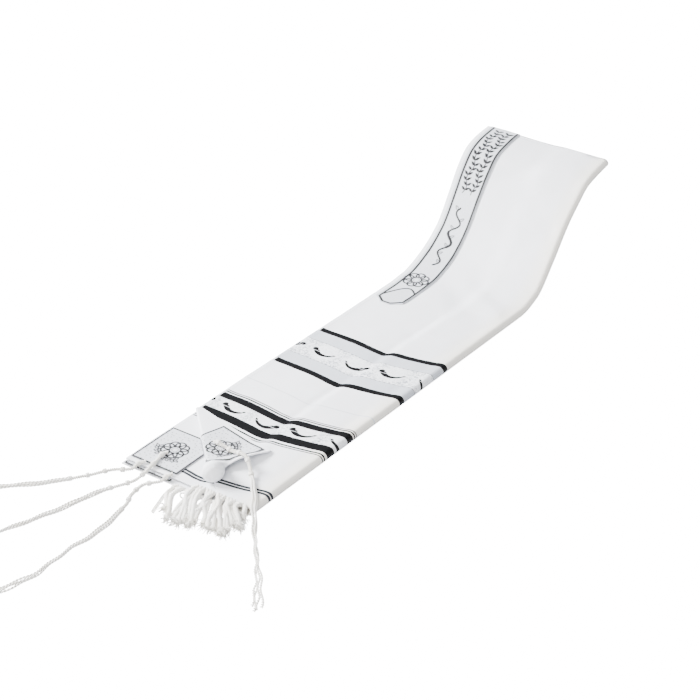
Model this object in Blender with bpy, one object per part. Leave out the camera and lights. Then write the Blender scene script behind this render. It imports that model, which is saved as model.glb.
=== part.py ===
"""A tallit prayer shawl, folded in four, lying with its fringed end flat and its centre fold raised.

Units are metres and +Z is up. X runs along the folded shawl, from the fringed end at -X to the
centre fold at +X. The open hems are at +Y and the lengthwise fold is at -Y. The origin is on the
flat underside.
"""

import math

import bmesh
import bpy
import numpy as np

# Driving sizes
WIDTH = 0.215
LENGTH = 0.940
END_X = -0.335
CLOTH = 0.0016
GAP = 0.0003
LAYER_GAP = 0.0008
TRIM_GAP = 0.0006
TRIM = 0.0008
HEM_STACK = 0.0115
FOLD_STACK = 0.0138
HEM_IN = 0.0004
LOWER_LAYER_REACH = 0.007
LONG_CREASE = 0.112
LONG_CREASE_WIDTH = 0.034
END_PRESSED = 0.93
END_PRESSED_LENGTH = 0.075
HEM_GROOVE = 0.0058
CENTRE_CURL = (0.0, 28.0, 54.0, 76.0)

# The underside's two long edges, from the fringed end to the centre fold
# distance along, x of the hem edge, z of the hem edge, x of the folded edge, z of the folded edge
SECTIONS = (
    (0.000, -0.335, 0.000, -0.335, 0.000),
    (0.300, -0.035, 0.000, -0.035, 0.000),
    (0.590, 0.255, 0.000, 0.255, 0.000),
    (0.640, 0.305, 0.003, 0.305, 0.000),
    (0.690, 0.353, 0.019, 0.352, 0.012),
    (0.750, 0.404, 0.051, 0.396, 0.053),
    (0.812, 0.440, 0.101, 0.437, 0.101),
    (0.850, 0.461, 0.133, 0.466, 0.127),
    (0.880, 0.482, 0.154, 0.490, 0.145),
    (0.910, 0.510, 0.163, 0.518, 0.153),
    (0.940, 0.540, 0.167, 0.548, 0.159),
)

# The top layer's corner is folded back along a slanting line that starts on the hem edge
FOLD_START = np.array((-0.187, 0.107))
FOLD_END = np.array((-0.3225, -0.036))
FOLD_LENGTH = float(np.linalg.norm(FOLD_END - FOLD_START))
FOLD_WAY = (FOLD_END - FOLD_START) / FOLD_LENGTH
FOLD_SIDE = np.array((-FOLD_WAY[1], FOLD_WAY[0]))
FOLD_SLOPE = FOLD_WAY[1] / FOLD_WAY[0]
CORNER_ALONG = 0.133
CORNER_REACH = 0.081
NOSE_START = 0.183
NOSE_RADIUS = 0.015
NOSE_STEPS = (0.0100, 0.0065, 0.0037, 0.0018, 0.0005, 0.0)

# Sections of the folded corner, by distance along its fold line
# distance, radius of the fold, reach of the sheet, lift of its free edge, share of curl
CORNER_SECTIONS = (
    (0.003, 0.0024, 0.0055, 0.0000, 0.0),
    (0.060, 0.0027, 0.0385, 0.0000, 0.0),
    (0.110, 0.0032, 0.0675, 0.0000, 0.0),
    (0.133, 0.0038, 0.0810, 0.0010, 0.0),
    (0.145, 0.0050, 0.0620, 0.0060, 0.0),
    (0.158, 0.0080, 0.0430, 0.0100, 0.1),
    (0.170, 0.0120, 0.0285, 0.0110, 0.6),
    (0.183, 0.0150, 0.0360, 0.0080, 1.0),
)

# Corner patches
PATCH_LONG = 0.085
PATCH_WIDE = 0.078
PATCH_MARGIN = 0.0055
PATCH_STOP = 0.158
PATCH_FOLD_GAP = 0.0065
PATCH_END_HEM = 0.002
LOWER_PATCH_START = -0.0065
LOWER_PATCH_STOP = -0.0006

# Neckband
BAND_START = 0.545
BAND_TIP = 0.015
BAND_LEFT = 0.008
BAND_WIDTH = 0.052

# Fringe: where the cords start across the end, and where their tips lie
# y of the root, x of the tip, y of the tip
FRINGE_LAY = (
    (0.014, -0.406, 0.009),
    (0.005, -0.412, -0.009),
    (-0.008, -0.410, -0.026),
    (-0.020, -0.400, -0.042),
    (-0.030, -0.384, -0.052),
    (-0.040, -0.392, -0.072),
    (-0.060, -0.391, -0.088),
    (-0.080, -0.372, -0.102),
    (-0.095, -0.361, -0.110),
    (-0.104, -0.358, -0.114),
)
CORD_PITCH = 0.0055
CORD_THICKNESS = 0.0020
STRIP_DEPTH = 0.003
UPPER_FIRST_CORD = -0.018
UPPER_CORDS = 15
UPPER_LEVELS = (0.0060, 0.0052, 0.0046, 0.0044, 0.0042)
LOWER_FIRST_CORD = 0.0105
LOWER_CORDS = 20
LOWER_LEVELS = (0.0020, 0.0018, 0.0016, 0.0016, 0.0016)
CORD_STATIONS = (0.06, 0.22, 0.42, 0.70, 1.0)
CORD_SIZES = (0.0015, CORD_THICKNESS, CORD_THICKNESS, CORD_THICKNESS, 0.0014)

# Ritual tassels: route of each, from the corner's hole to its free end
TASSEL_ROUTES = {
    "tzitzit_1": (
        (-0.3452, 0.084, 0.0038),
        (-0.360, 0.105, 0.0030),
        (-0.388, 0.122, 0.0028),
        (-0.436, 0.158, 0.0028),
        (-0.474, 0.195, 0.0028),
        (-0.530, 0.245, 0.0028),
        (-0.606, 0.296, 0.0028),
    ),
    "tzitzit_2": (
        (-0.301, 0.0675, 0.0119),
        (-0.331, 0.0620, 0.0116),
        (-0.346, 0.0610, 0.0088),
        (-0.364, 0.0650, 0.0036),
        (-0.408, 0.085, 0.0028),
        (-0.464, 0.098, 0.0028),
        (-0.545, 0.124, 0.0028),
        (-0.602, 0.146, 0.0028),
        (-0.659, 0.160, 0.0028),
    ),
    "tzitzit_3": (
        (-0.3446, 0.034, 0.0038),
        (-0.366, 0.050, 0.0030),
        (-0.388, 0.047, 0.0028),
        (-0.411, 0.037, 0.0028),
        (-0.485, 0.026, 0.0028),
        (-0.520, 0.029, 0.0028),
        (-0.581, 0.027, 0.0028),
        (-0.632, 0.038, 0.0028),
        (-0.668, 0.050, 0.0028),
    ),
    "tzitzit_4": (
        (-0.248, 0.0215, 0.0196),
        (-0.254, -0.006, 0.0202),
        (-0.259, -0.024, 0.0254),
        (-0.264, -0.039, 0.0292),
        (-0.272, -0.052, 0.0240),
        (-0.286, -0.067, 0.0182),
        (-0.308, -0.088, 0.0164),
        (-0.332, -0.107, 0.0145),
        (-0.352, -0.123, 0.0096),
        (-0.376, -0.143, 0.0038),
        (-0.410, -0.174, 0.0028),
        (-0.448, -0.205, 0.0028),
        (-0.487, -0.231, 0.0028),
    ),
}
TASSEL_HEAD = 0.105
TASSEL_STATIONS = 52
KNOTS = 5
STRAND_THICKNESS = 0.0009
STRAND_PITCH = 0.0014
STRAND_SPREAD = 0.0026

WHITE = (0.86, 0.87, 0.89)
PATCH_GREY = (0.72, 0.73, 0.76)
YARN = (0.88, 0.88, 0.87)


def smooth(value):
    """Ease from 0 to 1, held outside that range."""
    share = min(1.0, max(0.0, value))
    return share * share * (3.0 - 2.0 * share)


def unit(vector):
    """The vector at length one."""
    return vector / np.linalg.norm(vector)


def read_table(rows, at):
    """A smooth curve through a table's rows, with no overshoot between them."""
    table = np.array(rows, float)
    keys = table[:, 0]
    values = table[:, 1:]
    steps = np.diff(keys)[:, None]
    slopes = np.diff(values, axis=0) / steps
    tangents = np.zeros_like(values)
    tangents[0] = slopes[0]
    tangents[-1] = slopes[-1]
    before = slopes[:-1]
    after = slopes[1:]
    same_way = before * after > 0.0
    total = np.where(same_way, before + after, 1.0)
    tangents[1:-1] = np.where(same_way, 2.0 * before * after / total, 0.0)
    if at <= keys[0]:
        return values[0] + tangents[0] * (at - keys[0])
    if at >= keys[-1]:
        return values[-1] + tangents[-1] * (at - keys[-1])
    row = int(np.searchsorted(keys, at)) - 1
    step = keys[row + 1] - keys[row]
    t = (at - keys[row]) / step
    start = (1.0 + 2.0 * t) * (1.0 - t) ** 2 * values[row]
    leave = t * (1.0 - t) ** 2 * step * tangents[row]
    finish = t * t * (3.0 - 2.0 * t) * values[row + 1]
    arrive = t * t * (t - 1.0) * step * tangents[row + 1]
    return start + leave + finish + arrive


def underside(along, across):
    """A point of the flat underside, by distance along and distance in from the hem edge."""
    hem_x, hem_z, fold_x, fold_z = read_table(SECTIONS, along)
    share = across / WIDTH
    x = hem_x + (fold_x - hem_x) * share
    z = hem_z + (fold_z - hem_z) * share
    return np.array((x, WIDTH / 2.0 - across, z))


def place(along, across, height):
    """A point at a height over the underside, square to it."""
    step = 0.002
    way = underside(along + step, across) - underside(along - step, across)
    side = underside(along, WIDTH) - underside(along, 0.0)
    normal = unit(np.cross(side, way))
    return underside(along, across) + normal * height


def stack_height(along, across):
    """Height of the four layers: puffier near the fold, lower towards the fringed end."""
    crease = smooth((across - LONG_CREASE) / LONG_CREASE_WIDTH)
    end = END_PRESSED + (1.0 - END_PRESSED) * smooth(along / END_PRESSED_LENGTH)
    return (HEM_STACK + (FOLD_STACK - HEM_STACK) * crease) * end


def cut_across(along):
    """Where the top layer begins: at the hem edge, or at the slanting fold of its corner."""
    x = END_X + along
    fold_y = FOLD_START[1] + (x - FOLD_START[0]) * FOLD_SLOPE
    if x < FOLD_START[0]:
        return max(HEM_IN, WIDTH / 2.0 - fold_y + GAP)
    return HEM_IN


def new_object(name, mesh, colour, roughness):
    """An object with its own material."""
    material = bpy.data.materials.new(name)
    material.use_nodes = True
    shader = material.node_tree.nodes["Principled BSDF"]
    shader.inputs["Base Color"].default_value = (*colour, 1.0)
    shader.inputs["Roughness"].default_value = roughness
    mesh.materials.append(material)
    piece = bpy.data.objects.new(name, mesh)
    bpy.context.scene.collection.objects.link(piece)
    mesh.shade_smooth()
    return piece


def close_mesh(name, work, colour, roughness):
    """Turn every face outward and make the object."""
    bmesh.ops.recalc_face_normals(work, faces=work.faces)
    mesh = bpy.data.meshes.new(name)
    work.to_mesh(mesh)
    work.free()
    return new_object(name, mesh, colour, roughness)


def wall(name, outer, inner, colour, roughness):
    """A closed wall between two grids of points with the same rows and columns."""
    work = bmesh.new()
    sheets = []
    for grid in (outer, inner):
        sheets.append([[work.verts.new(point) for point in row] for row in grid])
    rows = len(outer)
    columns = len(outer[0])
    for sheet in sheets:
        for i in range(rows - 1):
            for j in range(columns - 1):
                corners = (sheet[i][j], sheet[i + 1][j], sheet[i + 1][j + 1], sheet[i][j + 1])
                work.faces.new(corners)
    rim = [(i, 0) for i in range(rows)]
    rim += [(rows - 1, j) for j in range(1, columns)]
    rim += [(i, columns - 1) for i in range(rows - 2, -1, -1)]
    rim += [(0, j) for j in range(columns - 2, 0, -1)]
    for number, (i, j) in enumerate(rim):
        k, m = rim[(number + 1) % len(rim)]
        work.faces.new((sheets[0][i][j], sheets[0][k][m], sheets[1][k][m], sheets[1][i][j]))
    return close_mesh(name, work, colour, roughness)


def spread(start, stop, count):
    """Evenly spaced values, as a list."""
    return [float(value) for value in np.linspace(start, stop, count)]


# Shares of the way from the first column to the lengthwise fold; close together at the long crease
TOP_COLUMNS = (0.0, 0.18, 0.36, 0.50, 0.545, 0.585, 0.627, 0.67, 0.71, 0.78, 0.86, 0.93, 1.0)
INNER_COLUMNS = (0.0, 0.36, 0.545, 0.585, 0.627, 0.67, 0.71, 0.86, 1.0)


def outer_section(along, turn):
    """Outer and inner points of the U-shaped cloth at one station.

    The turn is 0 along the length and grows to about 80 degrees round the centre fold.
    """
    fold_height = stack_height(along, WIDTH)
    radius = fold_height / 2.0
    bend = WIDTH - radius
    path = []
    first = cut_across(along)
    for share in TOP_COLUMNS:
        across = first + (bend - first) * share
        path.append((across, stack_height(along, across), 0.0, 1.0))
    for step in range(1, 7):
        angle = math.pi / 2.0 - math.pi * step / 7.0
        side = math.cos(angle)
        rise = math.sin(angle)
        path.append((bend + radius * side, radius + radius * rise, side, rise))
    for across in spread(bend, HEM_IN + 0.001, 8):
        path.append((across, 0.0, 0.0, -1.0))
    outer = []
    inner = []
    for across, height, side, rise in path:
        middle = stack_height(along, min(across, bend)) / 2.0
        for depth, points in ((0.0, outer), (CLOTH, inner)):
            reach = across - side * depth
            if reach > bend:
                reach = bend + (reach - bend) * math.cos(turn)
            level = middle + (height - rise * depth - middle) * math.cos(turn)
            station = along
            if along >= LENGTH:
                station = LENGTH - middle + (middle - depth) * math.sin(turn)
            points.append(place(station, reach, level))
    return outer, inner


def stations():
    """Distances along the shawl, closer where it bends."""
    lower = spread(0.0, 0.148, 9)
    flat = spread(0.175, 0.590, 9)
    rise = spread(0.612, LENGTH - 0.012, 21)
    return lower + flat + rise


def outer_cloth():
    """The top and bottom layers, joined round the lengthwise fold and curled in at the centre."""
    outer = []
    inner = []
    rows = [(along, 0.0) for along in stations()]
    rows += [(LENGTH, math.radians(degrees)) for degrees in CENTRE_CURL]
    for along, turn in rows:
        outside, inside = outer_section(along, turn)
        outer.append(outside)
        inner.append(inside)
    wall("shawl_outer_cloth", outer, inner, WHITE, 0.7)


def inner_section(along, squeeze, groove):
    """Outline of the two hidden layers at one station, with a groove between their hems."""
    low = CLOTH + LAYER_GAP
    radius = stack_height(along, WIDTH) / 2.0
    bend = WIDTH - radius
    round_radius = radius - low
    outline = []
    for step in range(1, 6):
        angle = math.pi / 2.0 - math.pi * step / 6.0
        across = bend + round_radius * math.cos(angle)
        outline.append((across, radius + round_radius * math.sin(angle)))
    for across in spread(bend, HEM_IN + 0.0035, 4):
        outline.append((across, low))
    top = stack_height(along, 0.0) - low
    middle = (low + top) / 2.0
    outline.append((HEM_IN + 0.0022, (low + middle) / 2.0))
    outline.append((HEM_IN + 0.0035, middle - 0.0003))
    outline.append((HEM_IN + 0.0032 + groove, middle))
    outline.append((HEM_IN + 0.0028, middle + 0.0003))
    outline.append((HEM_IN + 0.0016, (middle + top) / 2.0))
    first = HEM_IN + 0.0030
    for share in INNER_COLUMNS:
        across = first + (bend - first) * share
        outline.append((across, stack_height(along, across) - low))
    return [(across, low + (height - low) * squeeze) for across, height in outline]


def inner_layers():
    """The two hidden layers as one solid; the lower one reaches past the upper at the fringed end."""
    work = bmesh.new()
    rings = []
    rows = [(-LOWER_LAYER_REACH, 0.5, 0.0), (0.0010, 0.5, 0.0), (0.0024, 1.0, HEM_GROOVE)]
    rows += [(along, 1.0, HEM_GROOVE) for along in stations()[1:]]
    rows += [(LENGTH - 0.0085, 0.86, 0.0)]
    for along, squeeze, groove in rows:
        ring = []
        for across, height in inner_section(along, squeeze, groove):
            ring.append(work.verts.new(place(along, across, height)))
        rings.append(ring)
    count = len(rings[0])
    for first, second in zip(rings, rings[1:]):
        for k in range(count):
            following = (k + 1) % count
            work.faces.new((first[k], first[following], second[following], second[k]))
    work.faces.new(rings[0])
    work.faces.new(rings[-1])
    work.normal_update()
    bmesh.ops.triangulate(work, faces=work.faces)
    close_mesh("shawl_inner_layers", work, WHITE, 0.7)


def corner_section(distance):
    """Radius, reach, lift and curl of the folded corner at a distance along its fold."""
    if distance > NOSE_START:
        share = (distance - NOSE_START) / (FOLD_LENGTH - NOSE_START + 0.0004)
        radius = NOSE_RADIUS * math.sqrt(max(0.0, 1.0 - share * share))
        return radius, 2.4 * radius, 0.0, 1.0
    return tuple(read_table(CORNER_SECTIONS, distance))


def corner_point(distance, sideways):
    """A point of the folded corner's outer side.

    Sideways is measured over the cloth from the crest of the fold: positive towards the free
    edges, negative round the fold to its lower side.
    """
    radius, reach, lift, curl = corner_section(distance)
    centre_height = NOSE_RADIUS if distance > NOSE_START else radius
    angle = math.pi / 2.0 - sideways / radius
    round_side = radius * math.cos(angle)
    round_rise = centre_height + radius * math.sin(angle)
    side = round_side
    rise = round_rise
    if sideways > 0.0:
        edge_rise = 2.0 * CLOTH + LAYER_GAP + lift
        fall = min(reach, 0.030)
        share = 0.5 + 0.5 * math.cos(math.pi * min(1.0, sideways / fall))
        field_rise = edge_rise + (2.0 * radius - edge_rise) * share
        side = curl * round_side + (1.0 - curl) * sideways
        rise = curl * round_rise + (1.0 - curl) * field_rise
    x, y = FOLD_START + FOLD_WAY * distance + FOLD_SIDE * side
    level = stack_height(x - END_X, WIDTH / 2.0 - y) - CLOTH
    return np.array((x, y, level + rise))


def corner_lifted(distance, sideways, lift):
    """The folded corner's outer side, moved out square to it."""
    if distance > NOSE_START:
        point = corner_point(distance, sideways)
        x, y = FOLD_START + FOLD_WAY * NOSE_START
        level = stack_height(point[0] - END_X, WIDTH / 2.0 - point[1]) - CLOTH
        return point + unit(point - np.array((x, y, level + NOSE_RADIUS))) * lift
    step = 0.0008
    way = corner_point(distance + step, sideways) - corner_point(distance - step, sideways)
    side = corner_point(distance, sideways + step) - corner_point(distance, sideways - step)
    return corner_point(distance, sideways) + unit(np.cross(way, side)) * lift


def folded_corner():
    """The top layer's corner, turned back over itself, with a round nose at the fringed end."""
    distances = spread(0.004, CORNER_ALONG, 11) + spread(0.138, NOSE_START, 10)
    distances += [FOLD_LENGTH - short for short in NOSE_STEPS]
    outer = []
    inner = []
    for distance in distances:
        radius, reach = corner_section(distance)[:2]
        path = spread(-math.pi * radius, 0.0, 8) + spread(0.0, reach, 10)[1:]
        outer.append([corner_point(distance, sideways) for sideways in path])
        inner.append([corner_lifted(distance, sideways, -CLOTH) for sideways in path])
    wall("corner_flap", outer, inner, WHITE, 0.7)


def flap_patch():
    """The patch on the folded corner, cut short where the fold hides it."""
    hem_way = -np.array((CORNER_ALONG, CORNER_REACH)) / math.hypot(CORNER_ALONG, CORNER_REACH)
    end_way = np.array((-hem_way[1], hem_way[0]))
    low = []
    high = []
    for hem_step in spread(PATCH_MARGIN, PATCH_MARGIN + PATCH_LONG, 11):
        low_row = []
        high_row = []
        start = np.array((CORNER_ALONG, CORNER_REACH)) + hem_way * hem_step
        to_crest = start[1] / -end_way[1]
        to_nose = (PATCH_STOP - start[0]) / end_way[0]
        widest = min(PATCH_MARGIN + PATCH_WIDE, to_crest, to_nose)
        for end_step in spread(PATCH_MARGIN, widest, 10):
            distance, sideways = start + end_way * end_step
            low_row.append(corner_lifted(distance, sideways, TRIM_GAP))
            high_row.append(corner_lifted(distance, sideways, TRIM_GAP + TRIM))
        low.append(low_row)
        high.append(high_row)
    wall("corner_patch_right", high, low, PATCH_GREY, 0.6)


def flat_patch(name, start, stop, level, clip):
    """A patch lying on a layer's corner, between two distances along the shawl."""
    low = []
    high = []
    for across in spread(PATCH_MARGIN, PATCH_MARGIN + PATCH_WIDE, 7):
        finish = min(stop, clip(across))
        low_row = []
        high_row = []
        for along in spread(start, finish, 6):
            base = level(along, across) + GAP
            low_row.append(place(along, across, base))
            high_row.append(place(along, across, base + TRIM))
        low.append(low_row)
        high.append(high_row)
    wall(name, high, low, PATCH_GREY, 0.6)


def second_layer_top(along, across):
    """Height of the second layer's upper side."""
    return stack_height(along, across) - CLOTH - LAYER_GAP


def third_layer_top(along, across):
    """Height of the third layer where it reaches past the second."""
    low = CLOTH + LAYER_GAP
    return low + (stack_height(along, across) - 2.0 * low) * 0.5


def corner_patches():
    """The patch beside the folded corner, and the edge of the one below it."""
    def before_fold(across):
        y = WIDTH / 2.0 - across
        x = FOLD_START[0] + (y - FOLD_START[1]) / FOLD_SLOPE
        return x - END_X - PATCH_FOLD_GAP

    def never(across):
        return LENGTH

    start = PATCH_MARGIN + PATCH_END_HEM
    flat_patch("corner_patch_left", start, start + PATCH_LONG, second_layer_top, before_fold)
    flat_patch(
        "corner_patch_lower", LOWER_PATCH_START, LOWER_PATCH_STOP, third_layer_top, never
    )


def neckband():
    """The neckband: a strip along the hem with a pointed end, carried over the centre fold."""
    low = []
    high = []
    rows = [(along, 0.0) for along in spread(BAND_START, BAND_START + BAND_TIP, 4)]
    rows += [(along, 0.0) for along in stations() if along > BAND_START + BAND_TIP]
    rows += [(LENGTH, math.radians(degrees)) for degrees in CENTRE_CURL]
    for along, turn in rows:
        narrow = 0.30 * (1.0 - smooth((along - BAND_START) / BAND_TIP)) * BAND_WIDTH
        low_row = []
        high_row = []
        for across in spread(BAND_LEFT + narrow, BAND_LEFT + BAND_WIDTH - narrow, 5):
            height = stack_height(along, across)
            middle = height / 2.0
            for lift, row in ((TRIM_GAP, low_row), (TRIM_GAP + TRIM, high_row)):
                station = along
                if along >= LENGTH:
                    station = LENGTH - middle + (middle + lift) * math.sin(turn)
                row.append(place(station, across, middle + (middle + lift) * math.cos(turn)))
        low.append(low_row)
        high.append(high_row)
    wall("neckband", high, low, PATCH_GREY, 0.6)


def grow_strand(work, face, points, sizes):
    """Draw a face out into a strand through the points, each ring a small square."""
    bmesh.ops.inset_individual(work, faces=[face], thickness=0.0001)
    for number, (point, size) in enumerate(zip(points, sizes)):
        face = bmesh.ops.extrude_discrete_faces(work, faces=[face])["faces"][0]
        before = points[number - 1] if number else np.array(face.calc_center_median())
        after = points[min(number + 1, len(points) - 1)]
        way = unit(after - before)
        side = unit(np.cross(way, (0.0, 0.0, 1.0)))
        rise = np.cross(side, way)
        middle = np.array(face.calc_center_median())
        for vertex in face.verts:
            offset = np.array(vertex.co) - middle
            across = math.copysign(size / 2.0, float(offset @ side))
            up = math.copysign(size / 2.0, float(offset @ rise))
            vertex.co = point + side * across + rise * up


def fringe(name, roots, strip_level, strip_x, levels):
    """A narrow strip at the end of a layer with a row of cords drawn out of its front."""
    work = bmesh.new()
    count = len(roots)
    edges = [root + CORD_PITCH / 2.0 for root in roots] + [roots[-1] - CORD_PITCH / 2.0]
    columns = []
    for y in edges:
        low = strip_level(y)
        high = low + CLOTH
        corners = ((strip_x, low), (strip_x, high), (strip_x - STRIP_DEPTH, high))
        corners += ((strip_x - STRIP_DEPTH, low),)
        columns.append([work.verts.new((x, y, z)) for x, z in corners])
    fronts = []
    for left, right in zip(columns, columns[1:]):
        for k in range(4):
            following = (k + 1) % 4
            face = work.faces.new((left[k], left[following], right[following], right[k]))
            if k == 2:
                fronts.append(face)
    work.faces.new(columns[0])
    work.faces.new(columns[-1])
    bmesh.ops.recalc_face_normals(work, faces=work.faces)
    lay = sorted(FRINGE_LAY)
    for number in range(count):
        y = roots[number]
        tip_x, tip_y = read_table(lay, y)
        start_x = strip_x - STRIP_DEPTH
        start_z = strip_level(y) + CLOTH / 2.0
        wave = 0.0005 * math.sin(number * 2.4)
        points = []
        for share, level in zip(CORD_STATIONS, levels):
            bow = math.sin(math.pi * share) * wave
            x = start_x + (tip_x - start_x) * share
            sweep = share ** 1.4
            z = start_z + (level - start_z) * smooth(share / 0.42)
            points.append(np.array((x, y + (tip_y - y) * sweep + bow, z)))
        grow_strand(work, fronts[number], points, CORD_SIZES)
    close_mesh(name, work, YARN, 0.85)


def fringes():
    """The cords at the end of the top layer, and those at the end of the layers below it."""
    def top_level(y):
        return stack_height(0.0, WIDTH / 2.0 - y) - CLOTH

    def lower_level(y):
        return CLOTH + LAYER_GAP

    upper_roots = [UPPER_FIRST_CORD - CORD_PITCH * k for k in range(UPPER_CORDS)]
    lower_roots = [LOWER_FIRST_CORD - CORD_PITCH * k for k in range(LOWER_CORDS)]
    fringe("fringe_upper", upper_roots, top_level, END_X - GAP, UPPER_LEVELS)
    lower_x = END_X - LOWER_LAYER_REACH - GAP
    fringe("fringe_lower", lower_roots, lower_level, lower_x, LOWER_LEVELS)


def route_points(route, count):
    """Evenly spaced points of a smooth curve through a route."""
    knots = np.array(route)
    gaps = np.linalg.norm(np.diff(knots, axis=0), axis=1)
    keys = np.concatenate(([0.0], np.cumsum(gaps)))
    rows = np.column_stack((keys, knots))
    return [read_table(rows, at) for at in spread(0.0, float(keys[-1]), count)]


def tassel(name, route):
    """A knotted head with eight strands drawn out of its end."""
    fine = route_points(route, TASSEL_STATIONS + 1)
    total = sum(float(np.linalg.norm(b - a)) for a, b in zip(fine, fine[1:]))
    head_rings = int(round(TASSEL_HEAD / total * TASSEL_STATIONS))
    work = bmesh.new()
    cells = [(i, j) for i in range(5) for j in range(3)]
    around = [(0, 0), (1, 0), (2, 0), (3, 0), (4, 0), (4, 1), (4, 2), (3, 2), (2, 2), (1, 2)]
    around += [(0, 2), (0, 1)]
    rings = []
    for number in range(head_rings + 1):
        share = number / head_rings
        swell = 1.0 + 0.22 * math.cos(2.0 * math.pi * KNOTS * share) ** 4
        way = unit(fine[number + 1] - fine[max(0, number - 1)])
        side = unit(np.cross(way, (0.0, 0.0, 1.0)))
        rise = np.cross(side, way)
        ring = {}
        for i, j in cells:
            if (i, j) not in around and 0 < number < head_rings:
                continue
            flat = (i - 2) * STRAND_PITCH * swell * (0.86 if j != 1 else 1.0)
            up = (j - 1) * STRAND_PITCH * swell * (1.0 if 0 < i < 4 else 0.8)
            point = fine[number] + side * flat + rise * up
            ring[(i, j)] = work.verts.new(point)
        rings.append(ring)
    for first, second in zip(rings, rings[1:]):
        for k, cell in enumerate(around):
            following = around[(k + 1) % len(around)]
            work.faces.new((first[cell], first[following], second[following], second[cell]))
    ends = []
    for ring in (rings[0], rings[-1]):
        for i in range(4):
            for j in range(2):
                corners = ((i, j), (i + 1, j), (i + 1, j + 1), (i, j + 1))
                ends.append((i, j, work.faces.new([ring[corner] for corner in corners])))
    bmesh.ops.recalc_face_normals(work, faces=work.faces)
    rest = fine[head_rings:]
    picks = [2, 5] + [int(round(k)) for k in np.linspace(10, len(rest) - 1, 6)]
    for i, j, face in ends[8:]:
        strand = []
        for pick in picks:
            share = pick / (len(rest) - 1)
            spacing = STRAND_PITCH + (STRAND_SPREAD - STRAND_PITCH) * smooth(share)
            way = unit(rest[min(pick + 1, len(rest) - 1)] - rest[pick - 1])
            side = unit(np.cross(way, (0.0, 0.0, 1.0)))
            rise = np.cross(side, way)
            ripple = 0.0012 * share * math.sin(11.0 * share + 0.5 * i)
            level = (j - 0.5) * STRAND_PITCH
            strand.append(rest[pick] + side * ((i - 1.5) * spacing + ripple) + rise * level)
        sizes = [STRAND_THICKNESS] * len(picks)
        grow_strand(work, face, strand, sizes)
    close_mesh(name, work, YARN, 0.85)


def main():
    for piece in list(bpy.data.objects):
        bpy.data.objects.remove(piece)
    outer_cloth()
    inner_layers()
    folded_corner()
    flap_patch()
    corner_patches()
    neckband()
    fringes()
    for name, route in TASSEL_ROUTES.items():
        tassel(name, route)


main()
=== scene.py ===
"""A prayer shawl folded in four, with a neckband, corner patches, a fringe and knotted tassels.

Units are metres. X runs from the fringed end to the centre fold, +Y is the side of the open
hems, and +Z is up.
"""

import math
import random
from functools import lru_cache

import bmesh
import bpy
import numpy as np
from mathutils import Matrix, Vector, noise


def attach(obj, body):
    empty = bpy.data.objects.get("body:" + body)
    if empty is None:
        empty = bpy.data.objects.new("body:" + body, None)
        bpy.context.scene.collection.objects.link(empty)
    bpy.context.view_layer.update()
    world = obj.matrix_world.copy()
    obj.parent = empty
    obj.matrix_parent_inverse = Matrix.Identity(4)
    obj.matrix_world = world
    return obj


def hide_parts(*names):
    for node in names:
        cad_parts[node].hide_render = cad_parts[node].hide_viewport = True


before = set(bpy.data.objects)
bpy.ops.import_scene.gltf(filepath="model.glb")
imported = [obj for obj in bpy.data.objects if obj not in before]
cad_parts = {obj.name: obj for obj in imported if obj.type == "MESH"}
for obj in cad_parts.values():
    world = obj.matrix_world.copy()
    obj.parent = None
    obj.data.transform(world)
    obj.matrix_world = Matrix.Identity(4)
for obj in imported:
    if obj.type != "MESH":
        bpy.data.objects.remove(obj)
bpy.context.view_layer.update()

# Camera
# A long lens, low over the fringed end and the folded edge, level with the table.
LENS_PIXELS = 1900.0
PHOTO_PIXELS = 700.0
SENSOR = 36.0
VIEW_TARGET = Vector((0.0804, 0.0441, 0.0))
VIEW_DISTANCE = 2.7456
VIEW_AZIMUTH = math.radians(-54.04)
VIEW_ELEVATION = math.radians(29.48)
view_back = Vector((
    math.sin(VIEW_AZIMUTH) * math.cos(VIEW_ELEVATION),
    -math.cos(VIEW_AZIMUTH) * math.cos(VIEW_ELEVATION),
    math.sin(VIEW_ELEVATION),
))
camera_data = bpy.data.cameras.new("camera")
camera_data.sensor_width = SENSOR
camera_data.lens = SENSOR * LENS_PIXELS / PHOTO_PIXELS
camera = bpy.data.objects.new("camera", camera_data)
camera.location = VIEW_TARGET + view_back * VIEW_DISTANCE
camera.rotation_euler = view_back.to_track_quat("Z", "Y").to_euler()
bpy.context.scene.collection.objects.link(camera)
bpy.context.scene.camera = camera

# Table and light
# A plain white table, far wider than the shawl, under two soft boxes. The shadows are faint.
TABLE_SIZE = 30.0
TABLE_DEPTH = 0.0002
TABLE_WHITE = "#F7F7F8"
TABLE_GLOW = 16.0
SKY_WHITE = "#F2F4F8"
SKY_STRENGTH = 1.5
SOFT_BOXES = (
    ("soft_box_left", (-0.6, 2.6, 1.7), 1.2, 640.0, "#FFFFFF"),
    ("soft_box_front", (-2.4, -0.7, 1.9), 1.6, 110.0, "#FFFBF4"),
)


def linear(hex_colour):
    """A linear RGBA colour from an sRGB hex value."""
    values = [int(hex_colour[k:k + 2], 16) / 255.0 for k in (1, 3, 5)]
    curve = [v / 12.92 if v <= 0.04045 else ((v + 0.055) / 1.055) ** 2.4 for v in values]
    return (*curve, 1.0)


def add(tree, kind, links=None, **settings):
    """Add a shader node with its settings; links are input number or name: output, value or colour."""
    node = tree.nodes.new(kind)
    for setting, value in settings.items():
        setattr(node, setting, value)
    for socket, value in (links or {}).items():
        if isinstance(value, bpy.types.NodeSocket):
            tree.links.new(value, node.inputs[socket])
        else:
            node.inputs[socket].default_value = value
    return node


def new_material(name):
    """An empty material, its node tree and its Principled shader."""
    material = bpy.data.materials.new(name)
    material.use_nodes = True
    tree = material.node_tree
    return material, tree, tree.nodes["Principled BSDF"]


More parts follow.
